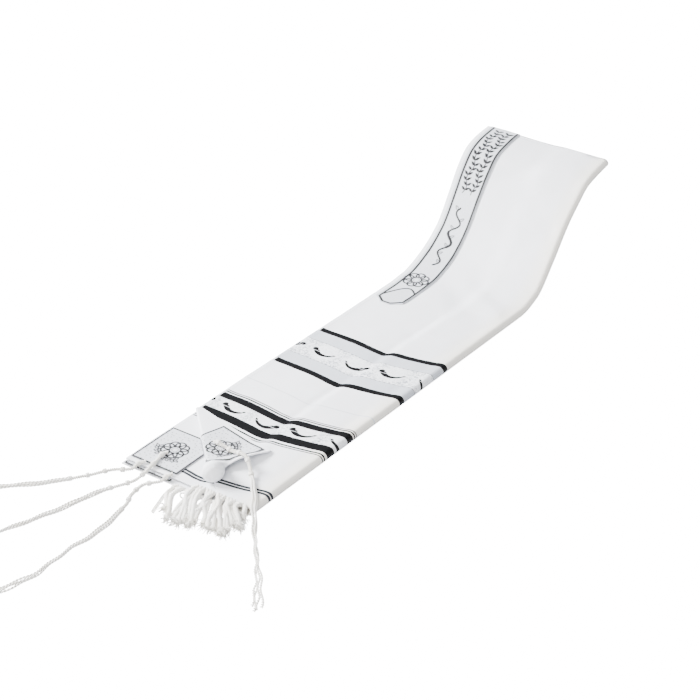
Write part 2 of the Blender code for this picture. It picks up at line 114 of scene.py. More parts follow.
def set_inputs(shader, values):
    """Set a shader's own sockets by name."""
    for socket, value in values.items():
        shader.inputs[socket].default_value = value


def new_piece(name, mesh, material):
    """A smooth-shaded object with one material, from a mesh or a bmesh, which is then spent."""
    if isinstance(mesh, bmesh.types.BMesh):
        work = mesh
        mesh = bpy.data.meshes.new(name)
        work.to_mesh(mesh)
        work.free()
    mesh.name = name
    mesh.shade_smooth()
    mesh.materials.clear()
    mesh.materials.append(material)
    piece = bpy.data.objects.new(name, mesh)
    bpy.context.scene.collection.objects.link(piece)
    return piece


# Matt painted board with a strong glow of its own, which keeps it pure white round the shawl.
# The glow adds no diffuse light to the shawl.
table_paint, tree, shader = new_material("white_painted_board")
set_inputs(shader, {
    "Base Color": linear(TABLE_WHITE), "Roughness": 0.9, "Specular IOR Level": 0.1,
    "Emission Color": linear(TABLE_WHITE), "Emission Strength": TABLE_GLOW,
})
work = bmesh.new()
bmesh.ops.create_grid(work, x_segments=1, y_segments=1, size=TABLE_SIZE / 2.0)
bmesh.ops.translate(work, verts=work.verts, vec=(0.0, 0.0, -TABLE_DEPTH))
table = new_piece("table", work, table_paint)
table.visible_diffuse = False

world = bpy.data.worlds.new("sky")
world.use_nodes = True
set_inputs(world.node_tree.nodes["Background"], {"Color": linear(SKY_WHITE), "Strength": SKY_STRENGTH})
bpy.context.scene.world = world
for name, place_at, size, power, colour in SOFT_BOXES:
    light = bpy.data.lights.new(name, "AREA")
    light.size = size
    light.energy = power
    light.color = linear(colour)[:3]
    box = bpy.data.objects.new(name, light)
    box.location = place_at
    box.rotation_euler = Vector(place_at).to_track_quat("Z", "Y").to_euler()
    bpy.context.scene.collection.objects.link(box)

# Main cloth
# One length of white wool-blend cloth, hemmed on its long edges. It is folded at its centre and
# then lengthwise, so its top and bottom layers meet round one soft fold at -Y.
WIDTH = 0.215
LENGTH = 0.940
END_X = -0.335
CLOTH = 0.0014
HEM_THICK = 0.0022
HEM_WIDE = 0.009
HEM_SLOPE = 0.0015
HEM_RISE = 0.0003
# Where the top layer begins further in than this, its hem has turned back with the corner
HEM_CUT_AWAY = 0.004
CLOTH_EDGE = 0.0004
PACKED_CLOTH = 0.0016
LAYER_GAP = 0.0008
HEM_IN = 0.0004
HEM_STACK = 0.0115
FOLD_STACK = 0.0138
LONG_CREASE = 0.112
LONG_CREASE_WIDTH = 0.034
END_PRESSED = 0.93
END_PRESSED_LENGTH = 0.075
CENTRE_CURL = (0.0, 12.0, 24.0, 36.0, 48.0, 60.0, 72.0, 82.0)
RISE_START = 0.600
# Creases fade out towards the lengthwise fold and the fringed end
CALM_NEAR_FOLD = 0.012
CALM_NEAR_END = 0.03

# distance along, x of the hem edge, z of the hem edge, x of the folded edge, z of the folded edge
SECTIONS = (
    (0.000, -0.335, 0.000, -0.335, 0.000),
    (0.300, -0.035, 0.000, -0.035, 0.000),
    (0.590, 0.255, 0.000, 0.255, 0.000),
    (0.640, 0.305, 0.003, 0.305, 0.000),
    (0.690, 0.353, 0.019, 0.352, 0.012),
    (0.750, 0.404, 0.051, 0.396, 0.053),
    (0.812, 0.440, 0.101, 0.437, 0.101),
    (0.850, 0.461, 0.133, 0.466, 0.127),
    (0.880, 0.482, 0.154, 0.490, 0.145),
    (0.910, 0.510, 0.163, 0.518, 0.153),
    (0.940, 0.540, 0.167, 0.548, 0.159),
)

# The line that the top layer's corner is folded back along
FOLD_START = np.array((-0.187, 0.107))
FOLD_END = np.array((-0.3225, -0.036))
FOLD_LENGTH = float(np.linalg.norm(FOLD_END - FOLD_START))
FOLD_WAY = (FOLD_END - FOLD_START) / FOLD_LENGTH
FOLD_SIDE = np.array((-FOLD_WAY[1], FOLD_WAY[0]))
FOLD_GAP = 0.0003

# Soft creases pressed in while the shawl lay folded
# start along, start across, end along, end across, depth in mm, width in mm
TOP_CREASES = (
    (0.100, 0.123, 0.330, 0.121, 1.3, 6.0),
    (0.330, 0.121, 0.560, 0.124, 1.2, 6.5),
    (0.560, 0.124, 0.700, 0.130, 0.7, 9.0),
    (0.060, 0.196, 0.300, 0.190, 0.5, 7.0),
    (0.300, 0.190, 0.560, 0.196, 0.4, 8.0),
    (0.210, 0.010, 0.285, 0.118, 0.7, 10.0),
    (0.290, 0.118, 0.345, 0.205, 0.6, 10.0),
    (0.440, 0.020, 0.520, 0.115, 0.7, 14.0),
    (0.470, 0.120, 0.545, 0.200, 0.6, 13.0),
    (0.560, 0.205, 0.640, 0.080, 1.1, 16.0),
    (0.600, 0.208, 0.665, 0.100, -0.8, 13.0),
    (0.150, 0.150, 0.050, 0.170, 0.8, 10.0),
    (0.045, 0.130, 0.115, 0.186, -0.7, 12.0),
    (0.840, 0.060, 0.900, 0.150, 1.2, 16.0),
    (0.860, 0.110, 0.900, 0.205, -0.9, 14.0),
    (0.780, 0.205, 0.850, 0.120, 0.8, 14.0),
)
UNDER_CREASES = (
    (0.660, 0.030, 0.760, 0.120, 1.0, 13.0),
    (0.700, 0.190, 0.800, 0.110, 0.9, 14.0),
    (0.820, 0.040, 0.880, 0.170, 1.1, 15.0),
    (0.640, 0.120, 0.900, 0.124, 1.0, 8.0),
)


def smooth(value):
    """Ease from 0 to 1, held outside that range."""
    share = min(1.0, max(0.0, value))
    return share * share * (3.0 - 2.0 * share)


def unit(vector):
    """The vector at length one."""
    return vector / np.linalg.norm(vector)


def spread(start, stop, count):
    """Evenly spaced values, as a list."""
    return [float(value) for value in np.linspace(start, stop, count)]


def read_table(rows, at):
    """A smooth curve through a table's rows, with no overshoot between them."""
    table_rows = np.array(rows, float)
    keys = table_rows[:, 0]
    values = table_rows[:, 1:]
    steps = np.diff(keys)[:, None]
    slopes = np.diff(values, axis=0) / steps
    tangents = np.zeros_like(values)
    tangents[0] = slopes[0]
    tangents[-1] = slopes[-1]
    same_way = slopes[:-1] * slopes[1:] > 0.0
    total = np.where(same_way, slopes[:-1] + slopes[1:], 1.0)
    tangents[1:-1] = np.where(same_way, 2.0 * slopes[:-1] * slopes[1:] / total, 0.0)
    if at <= keys[0]:
        return values[0] + tangents[0] * (at - keys[0])
    if at >= keys[-1]:
        return values[-1] + tangents[-1] * (at - keys[-1])
    row = int(np.searchsorted(keys, at)) - 1
    step = keys[row + 1] - keys[row]
    t = (at - keys[row]) / step
    leave = (1.0 + 2.0 * t) * (1.0 - t) ** 2 * values[row] + t * (1.0 - t) ** 2 * step * tangents[row]
    arrive = t * t * (3.0 - 2.0 * t) * values[row + 1] + t * t * (t - 1.0) * step * tangents[row + 1]
    return leave + arrive


@lru_cache(maxsize=None)
def section(along):
    """The underside's hem edge and folded edge at a distance along."""
    hem_x, hem_z, fold_x, fold_z = read_table(SECTIONS, along)
    return np.array((hem_x, WIDTH / 2.0, hem_z)), np.array((fold_x, -WIDTH / 2.0, fold_z))


@lru_cache(maxsize=None)
def section_frame(along, across):
    """A point of the flat underside, and the way square to it."""
    step = 0.002
    share = across / WIDTH
    hem, fold = section(along)
    before = section(along - step)
    after = section(along + step)
    way = (after[0] - before[0]) * (1.0 - share) + (after[1] - before[1]) * share
    return hem + (fold - hem) * share, unit(np.cross(fold - hem, way))


def place(along, across, height):
    """A point at a height over the underside, square to it."""
    point, normal = section_frame(along, across)
    return point + normal * height


def stack_height(along, across):
    """Height of the four layers: puffier near the fold, lower towards the fringed end."""
    crease = smooth((across - LONG_CREASE) / LONG_CREASE_WIDTH)
    end = END_PRESSED + (1.0 - END_PRESSED) * smooth(along / END_PRESSED_LENGTH)
    return (HEM_STACK + (FOLD_STACK - HEM_STACK) * crease) * end


def cut_across(along):
    """Where the top layer begins: at the hem edge, or at the slanting fold of its corner."""
    x = END_X + along
    if x >= FOLD_START[0]:
        return HEM_IN
    fold_y = FOLD_START[1] + (x - FOLD_START[0]) * FOLD_WAY[1] / FOLD_WAY[0]
    return max(HEM_IN, WIDTH / 2.0 - fold_y + FOLD_GAP)


def creases(table_of_creases, along, across):
    """Height that soft creases and the cloth's own unevenness add, in metres."""
    total = 0.0
    for from_along, from_across, to_along, to_across, depth, width in table_of_creases:
        run = math.hypot(to_along - from_along, to_across - from_across)
        way = ((to_along - from_along) / run, (to_across - from_across) / run)
        ahead = (along - from_along) * way[0] + (across - from_across) * way[1]
        aside = (across - from_across) * way[0] - (along - from_along) * way[1]
        if abs(aside) > 0.05 or not -0.05 < ahead < run + 0.05:
            continue
        wander = 0.004 * noise.noise(Vector((ahead * 14.0, depth * 7.0, 1.3)))
        fade = smooth((ahead + 0.02) / 0.05) * smooth((run + 0.02 - ahead) / 0.05)
        uneven = 0.75 + 0.5 * noise.noise(Vector((ahead * 25.0, depth * 5.0, 4.1)))
        away = (aside + wander) / (width / 1000.0)
        trough = math.exp(-away * away)
        shoulder = 0.35 * math.exp(-(away - 1.9) ** 2)
        total -= depth / 1000.0 * fade * uneven * (trough - shoulder)
    total += 0.0007 * noise.noise(Vector((along * 11.0, across * 19.0, 7.7)))
    total += 0.0003 * noise.noise(Vector((along * 45.0, across * 38.0, 2.2)))
    return total * (1.0 + 0.45 * smooth((along - 0.15) / 0.04))


def edge_wander(along, layer):
    """How far a layer's hem lies in from the others, in metres."""
    return 0.0008 + 0.0009 * noise.noise(Vector((along * 7.0, layer * 3.7, 0.4)))


def drape_grid(rows, columns, place_point):
    """A grid of cloth. Each vertex is moved to its place, and its UV is its place on the flat
    cloth in metres, across and along. The last value is its share of the hem's thickness."""
    grid = bmesh.new()
    bmesh.ops.create_grid(grid, x_segments=rows - 1, y_segments=columns - 1, size=0.5)
    flat_layer = grid.loops.layers.uv.new("flat_cloth")
    thick_layer = grid.verts.layers.deform.verify()
    flat = {}
    for vertex in grid.verts:
        i = round((vertex.co.x + 0.5) * (rows - 1))
        j = round((vertex.co.y + 0.5) * (columns - 1))
        point, spot, thick = place_point(i, j)
        vertex.co = point
        flat[vertex] = spot
        vertex[thick_layer][0] = thick
    for face in grid.faces:
        for loop in face.loops:
            loop[flat_layer].uv = flat[loop.vert]
    return grid


def add_wall(piece, thickness, edge_radius):
    """Give a grid of cloth its wall, inward, with softly rounded edges."""
    piece.vertex_groups.new(name="thick")
    shell = piece.modifiers.new("wall", "SOLIDIFY")
    shell.thickness = thickness
    shell.offset = -1.0
    shell.vertex_group = "thick"
    soft_edge = piece.modifiers.new("soft_edge", "BEVEL")
    soft_edge.width = edge_radius
    soft_edge.segments = 2
    soft_edge.limit_method = "ANGLE"
    soft_edge.angle_limit = math.radians(60.0)


def cloth_piece(name, rows, columns, place_point, outward):
    """A layer of the striped cloth. Its grid is the side that the outward sample faces."""
    piece = new_piece(name, drape_grid(rows, columns, place_point), striped_cloth)
    middle = piece.data.polygons[len(piece.data.polygons) // 2]
    if middle.normal.dot(Vector(outward(middle.center))) < 0.0:
        piece.data.flip_normals()
    add_wall(piece, HEM_THICK, CLOTH_EDGE)
    return piece


def stands_for(piece, node):
    """The piece rides on the shawl's one body, in place of its solid, which is hidden."""
    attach(piece, "root")
    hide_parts(node)


def stations(count_flat, count_rise, stop_short):
    """Distances along the cloth, closer where it bends."""
    return spread(0.0, RISE_START, count_flat) + spread(RISE_START, LENGTH - stop_short, count_rise)[1:]


PLAIN_SHARE = CLOTH / HEM_THICK


def hem_share(across):
    """1 in the hem, and the plain cloth's share of its thickness elsewhere."""
    return PLAIN_SHARE + (1.0 - PLAIN_SHARE) * (1.0 - smooth((across - HEM_WIDE) / HEM_SLOPE))


TOP_COLUMNS = 62
BEND_COLUMNS = 12
BOTTOM_COLUMNS = 30
outer_rows = [(along, 0.0) for along in stations(230, 110, stop_short=0.010)]
outer_rows += [(LENGTH, math.radians(degrees)) for degrees in CENTRE_CURL]


def outer_point(i, j):
    """A point of the top and bottom layers' outer side."""
    along, turn = outer_rows[i]
    fold_height = stack_height(along, WIDTH)
    radius = fold_height / 2.0
    bend = WIDTH - radius
    calm = 1.0 - smooth(turn)
    if j < TOP_COLUMNS:
        first = cut_across(along)
        if first == HEM_IN:
            first += edge_wander(along, 1.0)
        across = first + (bend - first) * j / (TOP_COLUMNS - 1)
        quiet = smooth(along / CALM_NEAR_END) * calm * smooth((bend - across) / CALM_NEAR_FOLD)
        rise = creases(TOP_CREASES, along, across) * quiet
        if first < HEM_CUT_AWAY:
            rise += HEM_RISE * (1.0 - smooth((across - HEM_WIDE) / HEM_SLOPE))
        height = stack_height(along, across) + rise
        spot = across
        thick = hem_share(across) if first < HEM_CUT_AWAY else PLAIN_SHARE
    elif j < TOP_COLUMNS + BEND_COLUMNS:
        angle = math.pi / 2.0 - math.pi * (j - TOP_COLUMNS + 1) / (BEND_COLUMNS + 1)
        across = bend + radius * math.cos(angle)
        height = radius + radius * math.sin(angle)
        spot = bend + radius * (math.pi / 2.0 - angle)
        thick = PLAIN_SHARE
    else:
        share = (j - TOP_COLUMNS - BEND_COLUMNS) / (BOTTOM_COLUMNS - 1)
        last = HEM_IN + edge_wander(along, 2.0)
        across = bend + (last - bend) * share
        lifted = smooth((along - RISE_START) / 0.08) * calm * smooth((bend - across) / CALM_NEAR_FOLD)
        height = -creases(UNDER_CREASES, along, across) * lifted
        spot = bend + radius * math.pi + (bend - across)
        thick = hem_share(across)
    middle = stack_height(along, min(across, bend)) / 2.0
    station = along
    if turn:
        station = LENGTH - middle + middle * math.sin(turn)
        if across > bend:
            across = bend + (across - bend) * math.cos(turn)
        height = middle + (height - middle) * math.cos(turn)
    flat_along = along + middle * turn
    return place(station, across, height), (spot, flat_along), thick


def from_middle(point):
    """Away from the middle of the folded stack."""
    return (0.0, 0.0, 1.0) if point.z > 0.007 else (0.0, 0.0, -1.0)


# Woven wool blend: matt and slightly napped; the threads are about 0.35 mm apart and are drawn at
# 0.9 mm, because the real ones are too fine to show. Stripes are dyed yarn woven across the cloth.
THREAD_DRAWN = 0.0009
CLOTH_WHITE = "#E6E7EB"
CLOTH_SHADE = "#DADCE2"
# Painted warm shade on the rounded lengthwise fold, which turns away from the light
PAINTED_FOLD_SHADE = "#E4DFD2"
YARN_BLACK = "#08090B"
YARN_GREY = "#26282D"
SILVER = "#C9CCD2"
SILVER_DARK = "#8F949D"
RIB_LIGHT = "#C0C4CB"
RIB_DARK = "#A6ABB4"
BROCADE_WHITE = "#E3E5E9"
# Painted grey shadow line of the white hem stitches
STITCH_SHADOW_GREY = "#A8ABB2"

# Stripes across the cloth: start and stop from the fringed end in mm, yarn
STRIPES = (
    (16.2, 20.6, YARN_GREY),
    (21.8, 26.2, YARN_GREY),
    (129.2, 131.2, YARN_GREY),
    (133.0, 136.0, YARN_BLACK),
    (140.0, 156.0, YARN_BLACK),
    (185.0, 198.0, YARN_BLACK),
    (200.2, 203.0, YARN_BLACK),
    (204.8, 206.6, YARN_GREY),
    (245.8, 248.0, SILVER),
    (306.6, 317.6, YARN_BLACK),
    (415.0, 425.4, YARN_BLACK),
)
# How far the stripes drift towards the centre fold, because the cloth was folded off square
# share of the way round the cloth, drift in mm over DRIFT_RANGE, from -DRIFT_RANGE / 2
DRIFT_RANGE = 40.0
ROUND_CLOTH = 0.450
DRIFT = (
    (0.0, 5.0), (0.08, 4.0), (0.145, 2.5), (0.20, 0.0), (0.255, -2.4), (0.285, 0.4), (0.31, 3.0),
    (0.355, 5.5), (0.40, 9.0), (0.435, 13.0), (0.47, 15.5), (0.60, 15.0), (1.0, 8.0),
)
# Brocade strips, each with a row of curved horns: start, stop, middle of the horns in mm, and
# where their first pair begins across the cloth in mm
BROCADES = (
    (156.0, 185.0, 171.0, 14.0),
    (343.0, 390.0, 367.0, 21.0),
)
SATIN = (317.6, 415.0)
SATIN_RIB = 2.6
HORN_PITCH = 58.0
# A horn lies between two circles that nearly touch at its tip, and ends in a round mouth.
# Each circle: place in the pitch, height over the middle of the row, radius, all in mm
HORN_OUTER = (29.0, 11.0, 21.2)
HORN_INNER = (32.0, 11.0, 15.2)
HORN_MOUTH = (11.6, 3.4, 4.3)
HORN_TOP = 3.4
HORN_BAND = (-1.0, -0.1)
HORN_RIM = 0.35
CARTOUCHE = (29.0, 2.0, 23.0)
DASH_PITCH = 7.0
DASHED_LINES = ((342.2, 343.6), (389.4, 390.8))
# The stripes end short of both hems
SELVEDGE = (4.4, 432.4)
# Across the cloth in mm: where the painted warm shade lies round the lengthwise fold
PAINTED_FOLD_SHADE_SPAN = (196.0, 250.0)
STITCH_LINE = (8.3, 9.1)
STITCH_PITCH = 0.0034


def calc(tree, operation, *values):
    """One step of arithmetic on sockets and numbers."""
    return add(tree, "ShaderNodeMath", dict(enumerate(values)), operation=operation).outputs[0]


def times(tree, first, second):
    """The product of two values."""
    return calc(tree, "MULTIPLY", first, second)


def less(tree, share, amount):
    """1, less the amount of a share."""
    return calc(tree, "MULTIPLY_ADD", share, -amount, 1.0)


def ripple(tree, value, pitch):
    """A sine wave of the given pitch."""
    return calc(tree, "SINE", times(tree, value, 2.0 * math.pi / pitch))


def ramp(tree, value, start, stop):
    """0 to 1 as the value goes from start to stop, held outside them."""
    links = {"Value": value, "From Min": start, "From Max": stop}
    return add(tree, "ShaderNodeMapRange", links, clamp=True).outputs[0]


def noise_over(tree, spot, scale, detail, distortion=0.0):
    """Noise over a place, 0 to 1."""
    links = {"Vector": spot, "Scale": scale, "Detail": detail, "Distortion": distortion}
    return add(tree, "ShaderNodeTexNoise", links).outputs[0]


def draw_curve(tree, value, points, low, span):
    """A float curve through the points, whose values run from low over span."""
    node = add(tree, "ShaderNodeFloatCurve", {"Value": value})
    curve = node.mapping.curves[0]
    rows = [(share, (level - low) / span) for share, level in points]
    curve.points[0].location = rows[0]
    curve.points[1].location = rows[-1]
    for row in rows[1:-1]:
        curve.points.new(*row)
    for point in curve.points:
        point.handle_type = "AUTO_CLAMPED"
    node.mapping.update()
    return calc(tree, "MULTIPLY_ADD", node.outputs[0], span, low)


def within(tree, value, start, stop, soft):
    """1 where the value is between start and stop, with soft edges."""
    off = calc(tree, "SUBTRACT", value, (start + stop) / 2.0)
    half = (stop - start) / 2.0
    return ramp(tree, calc(tree, "ABSOLUTE", off), half + soft, half - soft)


def in_circle(tree, aside, above, circle, soft):
    """1 inside a circle, given as its centre aside and above and its radius, with a soft rim."""
    middle_aside, middle_above, radius = circle
    off_aside = calc(tree, "SUBTRACT", aside, middle_aside)
    off_above = calc(tree, "SUBTRACT", above, middle_above)
    squared = calc(tree, "MULTIPLY_ADD", off_aside, off_aside, times(tree, off_above, off_above))
    return ramp(tree, calc(tree, "SQRT", squared), radius + soft, radius - soft)


def mix(tree, share, first, second):
    """A colour mixed from the first to the second."""
    node = add(tree, "ShaderNodeMix", {"Factor": share, 6: first, 7: second}, data_type="RGBA")
    return node.outputs[2]


def bump_of(tree, height, strength, distance, under=None):
    """A surface normal that shows the height, over another normal where one is given."""
    links = {"Height": height, "Strength": strength, "Distance": distance}
    if under:
        links["Normal"] = under
    return add(tree, "ShaderNodeBump", links).outputs[0]


def weave_height(tree, across, along, drawn):
    """Height of a plain weave with the given thread spacing, 0 to 1."""
    waves = times(tree, ripple(tree, across, drawn), ripple(tree, along, drawn))
    return calc(tree, "MULTIPLY_ADD", waves, 0.5, 0.5)


def finish_shader(tree, shader, colour, normal, values):
    """Give the shader its colour and relief, and its even values by socket name."""
    tree.links.new(colour, shader.inputs["Base Color"])
    tree.links.new(normal, shader.inputs["Normal"])
    set_inputs(shader, values)


striped_cloth, tree, shader = new_material("woven_wool_blend")
flat_cloth = add(tree, "ShaderNodeUVMap", uv_map="flat_cloth").outputs[0]
flat_parts = add(tree, "ShaderNodeSeparateXYZ", {0: flat_cloth})
across_m = flat_parts.outputs[0]
along_m = flat_parts.outputs[1]
across_mm = times(tree, across_m, 1000.0)
round_share = times(tree, across_m, 1.0 / ROUND_CLOTH)
drift = draw_curve(tree, round_share, DRIFT, -DRIFT_RANGE / 2.0, DRIFT_RANGE)
along_mm = calc(tree, "SUBTRACT", times(tree, along_m, 1000.0), drift)

# Broad, faint greying of the white, and a painted warm shade at the lengthwise fold, where the cloth
# rounds away from the light
greying = noise_over(tree, flat_cloth, scale=9.0, detail=3.0)
ground = mix(tree, greying, linear(CLOTH_WHITE), linear(CLOTH_SHADE))
painted_fold_shade = times(tree, within(tree, across_mm, *PAINTED_FOLD_SHADE_SPAN, soft=14.0), 0.7)
ground = mix(tree, painted_fold_shade, ground, linear(PAINTED_FOLD_SHADE))

# Satin ribs between the upper pair of stripes
rib_share = calc(tree, "MULTIPLY_ADD", ripple(tree, along_mm, SATIN_RIB), 0.35, 0.5)
satin_colour = mix(tree, rib_share, linear(RIB_LIGHT), linear(RIB_DARK))
ground = mix(tree, within(tree, along_mm, *SATIN, soft=0.5), ground, satin_colour)

# Brocade: silver flecks on white, and a row of horns that face each other in turn
flecks = noise_over(tree, flat_cloth, scale=260.0, detail=2.0, distortion=1.2)
fleck_share = ramp(tree, flecks, start=0.42, stop=0.62)
for start, stop, middle, first_pair in BROCADES:
    paced = calc(tree, "PINGPONG", calc(tree, "SUBTRACT", across_mm, first_pair), HORN_PITCH)
    above = calc(tree, "SUBTRACT", along_mm, middle)
    open_ground = less(tree, in_circle(tree, paced, above, CARTOUCHE, soft=6.0), amount=0.75)
    flecked = times(tree, fleck_share, open_ground)
    brocade_colour = mix(tree, flecked, linear(BROCADE_WHITE), linear(SILVER_DARK))
    ground = mix(tree, within(tree, along_mm, start, stop, soft=0.6), ground, brocade_colour)
    solid = less(tree, in_circle(tree, paced, above, HORN_INNER, HORN_RIM), 1.0)
    body = times(tree, in_circle(tree, paced, above, HORN_OUTER, HORN_RIM), solid)
    body = times(tree, body, within(tree, above, -HORN_PITCH, HORN_TOP, soft=0.4))
    mouth = in_circle(tree, paced, above, HORN_MOUTH, HORN_RIM)
    horn = calc(tree, "MAXIMUM", body, mouth)
    horn = times(tree, horn, less(tree, within(tree, above, *HORN_BAND, soft=0.25), amount=0.65))
    ground = mix(tree, horn, ground, linear(YARN_BLACK))
# Broken lines along both sides of the upper brocade
dash_share = calc(tree, "MULTIPLY_ADD", ripple(tree, across_mm, DASH_PITCH), 0.3, 0.5)
for start, stop in DASHED_LINES:
    line_here = times(tree, within(tree, along_mm, start, stop, soft=0.4), dash_share)
    ground = mix(tree, line_here, ground, linear(YARN_GREY))
# Hem stitches in white thread, shown only by the painted thin grey shadow line that they cast
stitch_on = ramp(tree, ripple(tree, along_m, STITCH_PITCH), start=-0.5, stop=0.1)
stitch_shadow_here = times(tree, within(tree, across_mm, *STITCH_LINE, soft=0.25), stitch_on)
ground = mix(tree, times(tree, stitch_shadow_here, 0.55), ground, linear(STITCH_SHADOW_GREY))

inside_hems = within(tree, across_mm, *SELVEDGE, soft=0.5)
for start, stop, yarn in STRIPES:
    stripe_here = times(tree, within(tree, along_mm, start, stop, soft=0.35), inside_hems)
    ground = mix(tree, stripe_here, ground, linear(yarn))

weave = weave_height(tree, across_m, along_m, THREAD_DRAWN)
threads = calc(tree, "ADD", weave, noise_over(tree, flat_cloth, scale=1400.0, detail=2.0))
woven = bump_of(tree, threads, strength=0.25, distance=0.0003)
puckers = noise_over(tree, flat_cloth, scale=70.0, detail=2.0)
puckered = bump_of(tree, puckers, strength=0.18, distance=0.0022, under=woven)
finish_shader(tree, shader, ground, puckered, {
    "Roughness": 0.82, "Specular IOR Level": 0.02, "Sheen Weight": 0.015, "Sheen Roughness": 0.5,
})

outer_columns = TOP_COLUMNS + BEND_COLUMNS + BOTTOM_COLUMNS
outer_cloth = cloth_piece("shawl_cloth_outer", len(outer_rows), outer_columns, outer_point, from_middle)
stands_for(outer_cloth, "shawl_outer_cloth")

# Hidden layers
# The same cloth's two inner layers, folded lengthwise inside the outer ones. Their hems show at
# +Y, and the upper one's corner shows where the top corner is folded back.
LOWER_LAYER_REACH = 0.007
UPPER_LAYER_IN = 0.0010
REACH_RUN = 0.04
UPPER_HEM_IN = 0.0012
LOWER_HEM_IN = 0.0006
INNER_SAG = 0.0004
INNER_TOP_COLUMNS = 40
INNER_BEND_COLUMNS = 8
INNER_BOTTOM_COLUMNS = 20
inner_rows = stations(150, 70, stop_short=0.0085)


def inner_point(i, j):
    """A point of the two hidden layers' outer side."""
    along = inner_rows[i]
    low = PACKED_CLOTH + LAYER_GAP
    radius = stack_height(along, WIDTH) / 2.0
    bend = WIDTH - radius
    tight = radius - low
    lower_share = 0.0
    if j < INNER_TOP_COLUMNS:
        first = HEM_IN + UPPER_HEM_IN + edge_wander(along, 3.0)
        across = first + (bend - first) * j / (INNER_TOP_COLUMNS - 1)
        height = stack_height(along, across) - low
        height -= INNER_SAG * (1.0 + noise.noise(Vector((along * 20.0, across * 25.0, 5.5))))
        spot = across
        thick = hem_share(across)
    elif j < INNER_TOP_COLUMNS + INNER_BEND_COLUMNS:
        angle = math.pi / 2.0 - math.pi * (j - INNER_TOP_COLUMNS + 1) / (INNER_BEND_COLUMNS + 1)
        across = bend + tight * math.cos(angle)
        height = radius + tight * math.sin(angle)
        lower_share = smooth(0.5 - angle / math.pi)
        spot = bend + tight * (math.pi / 2.0 - angle)
        thick = PLAIN_SHARE
    else:
        share = (j - INNER_TOP_COLUMNS - INNER_BEND_COLUMNS) / (INNER_BOTTOM_COLUMNS - 1)
        last = HEM_IN + LOWER_HEM_IN + edge_wander(along, 4.0)
        across = bend + (last - bend) * share
        height = low
        lower_share = 1.0
        spot = bend + tight * math.pi + (bend - across)
        thick = hem_share(across)
    reach = UPPER_LAYER_IN - (LOWER_LAYER_REACH + UPPER_LAYER_IN) * lower_share
    station = along + reach * (1.0 - smooth(along / REACH_RUN))
    return place(station, across, height), (spot, along + LOWER_LAYER_REACH * lower_share), thick


inner_columns = INNER_TOP_COLUMNS + INNER_BEND_COLUMNS + INNER_BOTTOM_COLUMNS
inner_cloth = cloth_piece("shawl_cloth_inner", len(inner_rows), inner_columns, inner_point, from_middle)
stands_for(inner_cloth, "shawl_inner_layers")

# Folded corner
# The top layer's corner, turned back over itself. Near the fringed end the fold stands up in a
# round nose, and the corner's hem lifts clear of the cloth below.
CORNER_ALONG = 0.133
CORNER_REACH = 0.081
NOSE_START = 0.183
NOSE_RADIUS = 0.015
NOSE_GROOVES = (0.52, 0.86)
# How far round the nose's cloth turns where it begins, and how soon it closes
NOSE_TURN = 2.4
NOSE_CLOSING = 0.008
# distance along the fold, radius of the fold, reach of the sheet, lift of its free edge, share of curl
CORNER_SECTIONS = (
    (0.003, 0.0024, 0.0055, 0.0000, 0.0),
    (0.060, 0.0027, 0.0385, 0.0000, 0.0),
    (0.110, 0.0032, 0.0675, 0.0000, 0.0),
    (0.133, 0.0038, 0.0810, 0.0010, 0.0),
    (0.145, 0.0050, 0.0620, 0.0060, 0.0),
    (0.158, 0.0080, 0.0430, 0.0100, 0.1),
    (0.170, 0.0120, 0.0285, 0.0110, 0.6),
    (0.183, 0.0150, 0.0360, 0.0080, 1.0),
)
corner_hem_way = -np.array((CORNER_ALONG, CORNER_REACH)) / math.hypot(CORNER_ALONG, CORNER_REACH)
corner_end_way = np.array((-corner_hem_way[1], corner_hem_way[0]))


@lru_cache(maxsize=None)
def corner_section(distance):
    """Radius, reach, lift and curl of the folded corner at a distance along its fold."""
    if distance > NOSE_START:
        share = (distance - NOSE_START) / (FOLD_LENGTH - NOSE_START)
        grooves = sum(math.exp(-((share - at) / 0.07) ** 2) for at in NOSE_GROOVES)
        radius = NOSE_RADIUS * math.sqrt(max(0.0, 1.0 - share * share)) * (1.0 - 0.035 * grooves)
        closing = smooth((distance - NOSE_START) / NOSE_CLOSING)
        turned = NOSE_TURN + (math.pi - NOSE_TURN) * closing
        return max(radius, 1.0e-5), turned * radius, 0.0, 1.0
    return tuple(read_table(CORNER_SECTIONS, distance))


def corner_point(distance, sideways):
    """A point of the folded corner's outer side; sideways is measured over the cloth from the crest."""
    radius, reach, lift, curl = corner_section(distance)
    centre_height = NOSE_RADIUS if distance > NOSE_START else radius
    angle = math.pi / 2.0 - sideways / radius
    side = radius * math.cos(angle)
    rise = centre_height + radius * math.sin(angle)
    if sideways > 0.0:
        edge_rise = 2.0 * PACKED_CLOTH + LAYER_GAP + lift
        share = 0.5 + 0.5 * math.cos(math.pi * min(1.0, sideways / min(reach, 0.030)))
        field_rise = edge_rise + (2.0 * radius - edge_rise) * share
        side = curl * side + (1.0 - curl) * sideways
        rise = curl * rise + (1.0 - curl) * field_rise
    x, y = FOLD_START + FOLD_WAY * distance + FOLD_SIDE * side
    level = stack_height(x - END_X, WIDTH / 2.0 - y) - PACKED_CLOTH
    return np.array((x, y, level + rise))


def corner_lifted(distance, sideways, lift):
    """The folded corner's outer side, moved out square to it."""
    if distance > NOSE_START:
        point = corner_point(distance, sideways)
        x, y = FOLD_START + FOLD_WAY * NOSE_START
        level = stack_height(point[0] - END_X, WIDTH / 2.0 - point[1]) - PACKED_CLOTH
        return point + unit(point - np.array((x, y, level + NOSE_RADIUS))) * lift
    step = 0.0008
    way = corner_point(distance + step, sideways) - corner_point(distance - step, sideways)
    side = corner_point(distance, sideways + step) - corner_point(distance, sideways - step)
    return corner_point(distance, sideways) + unit(np.cross(way, side)) * lift


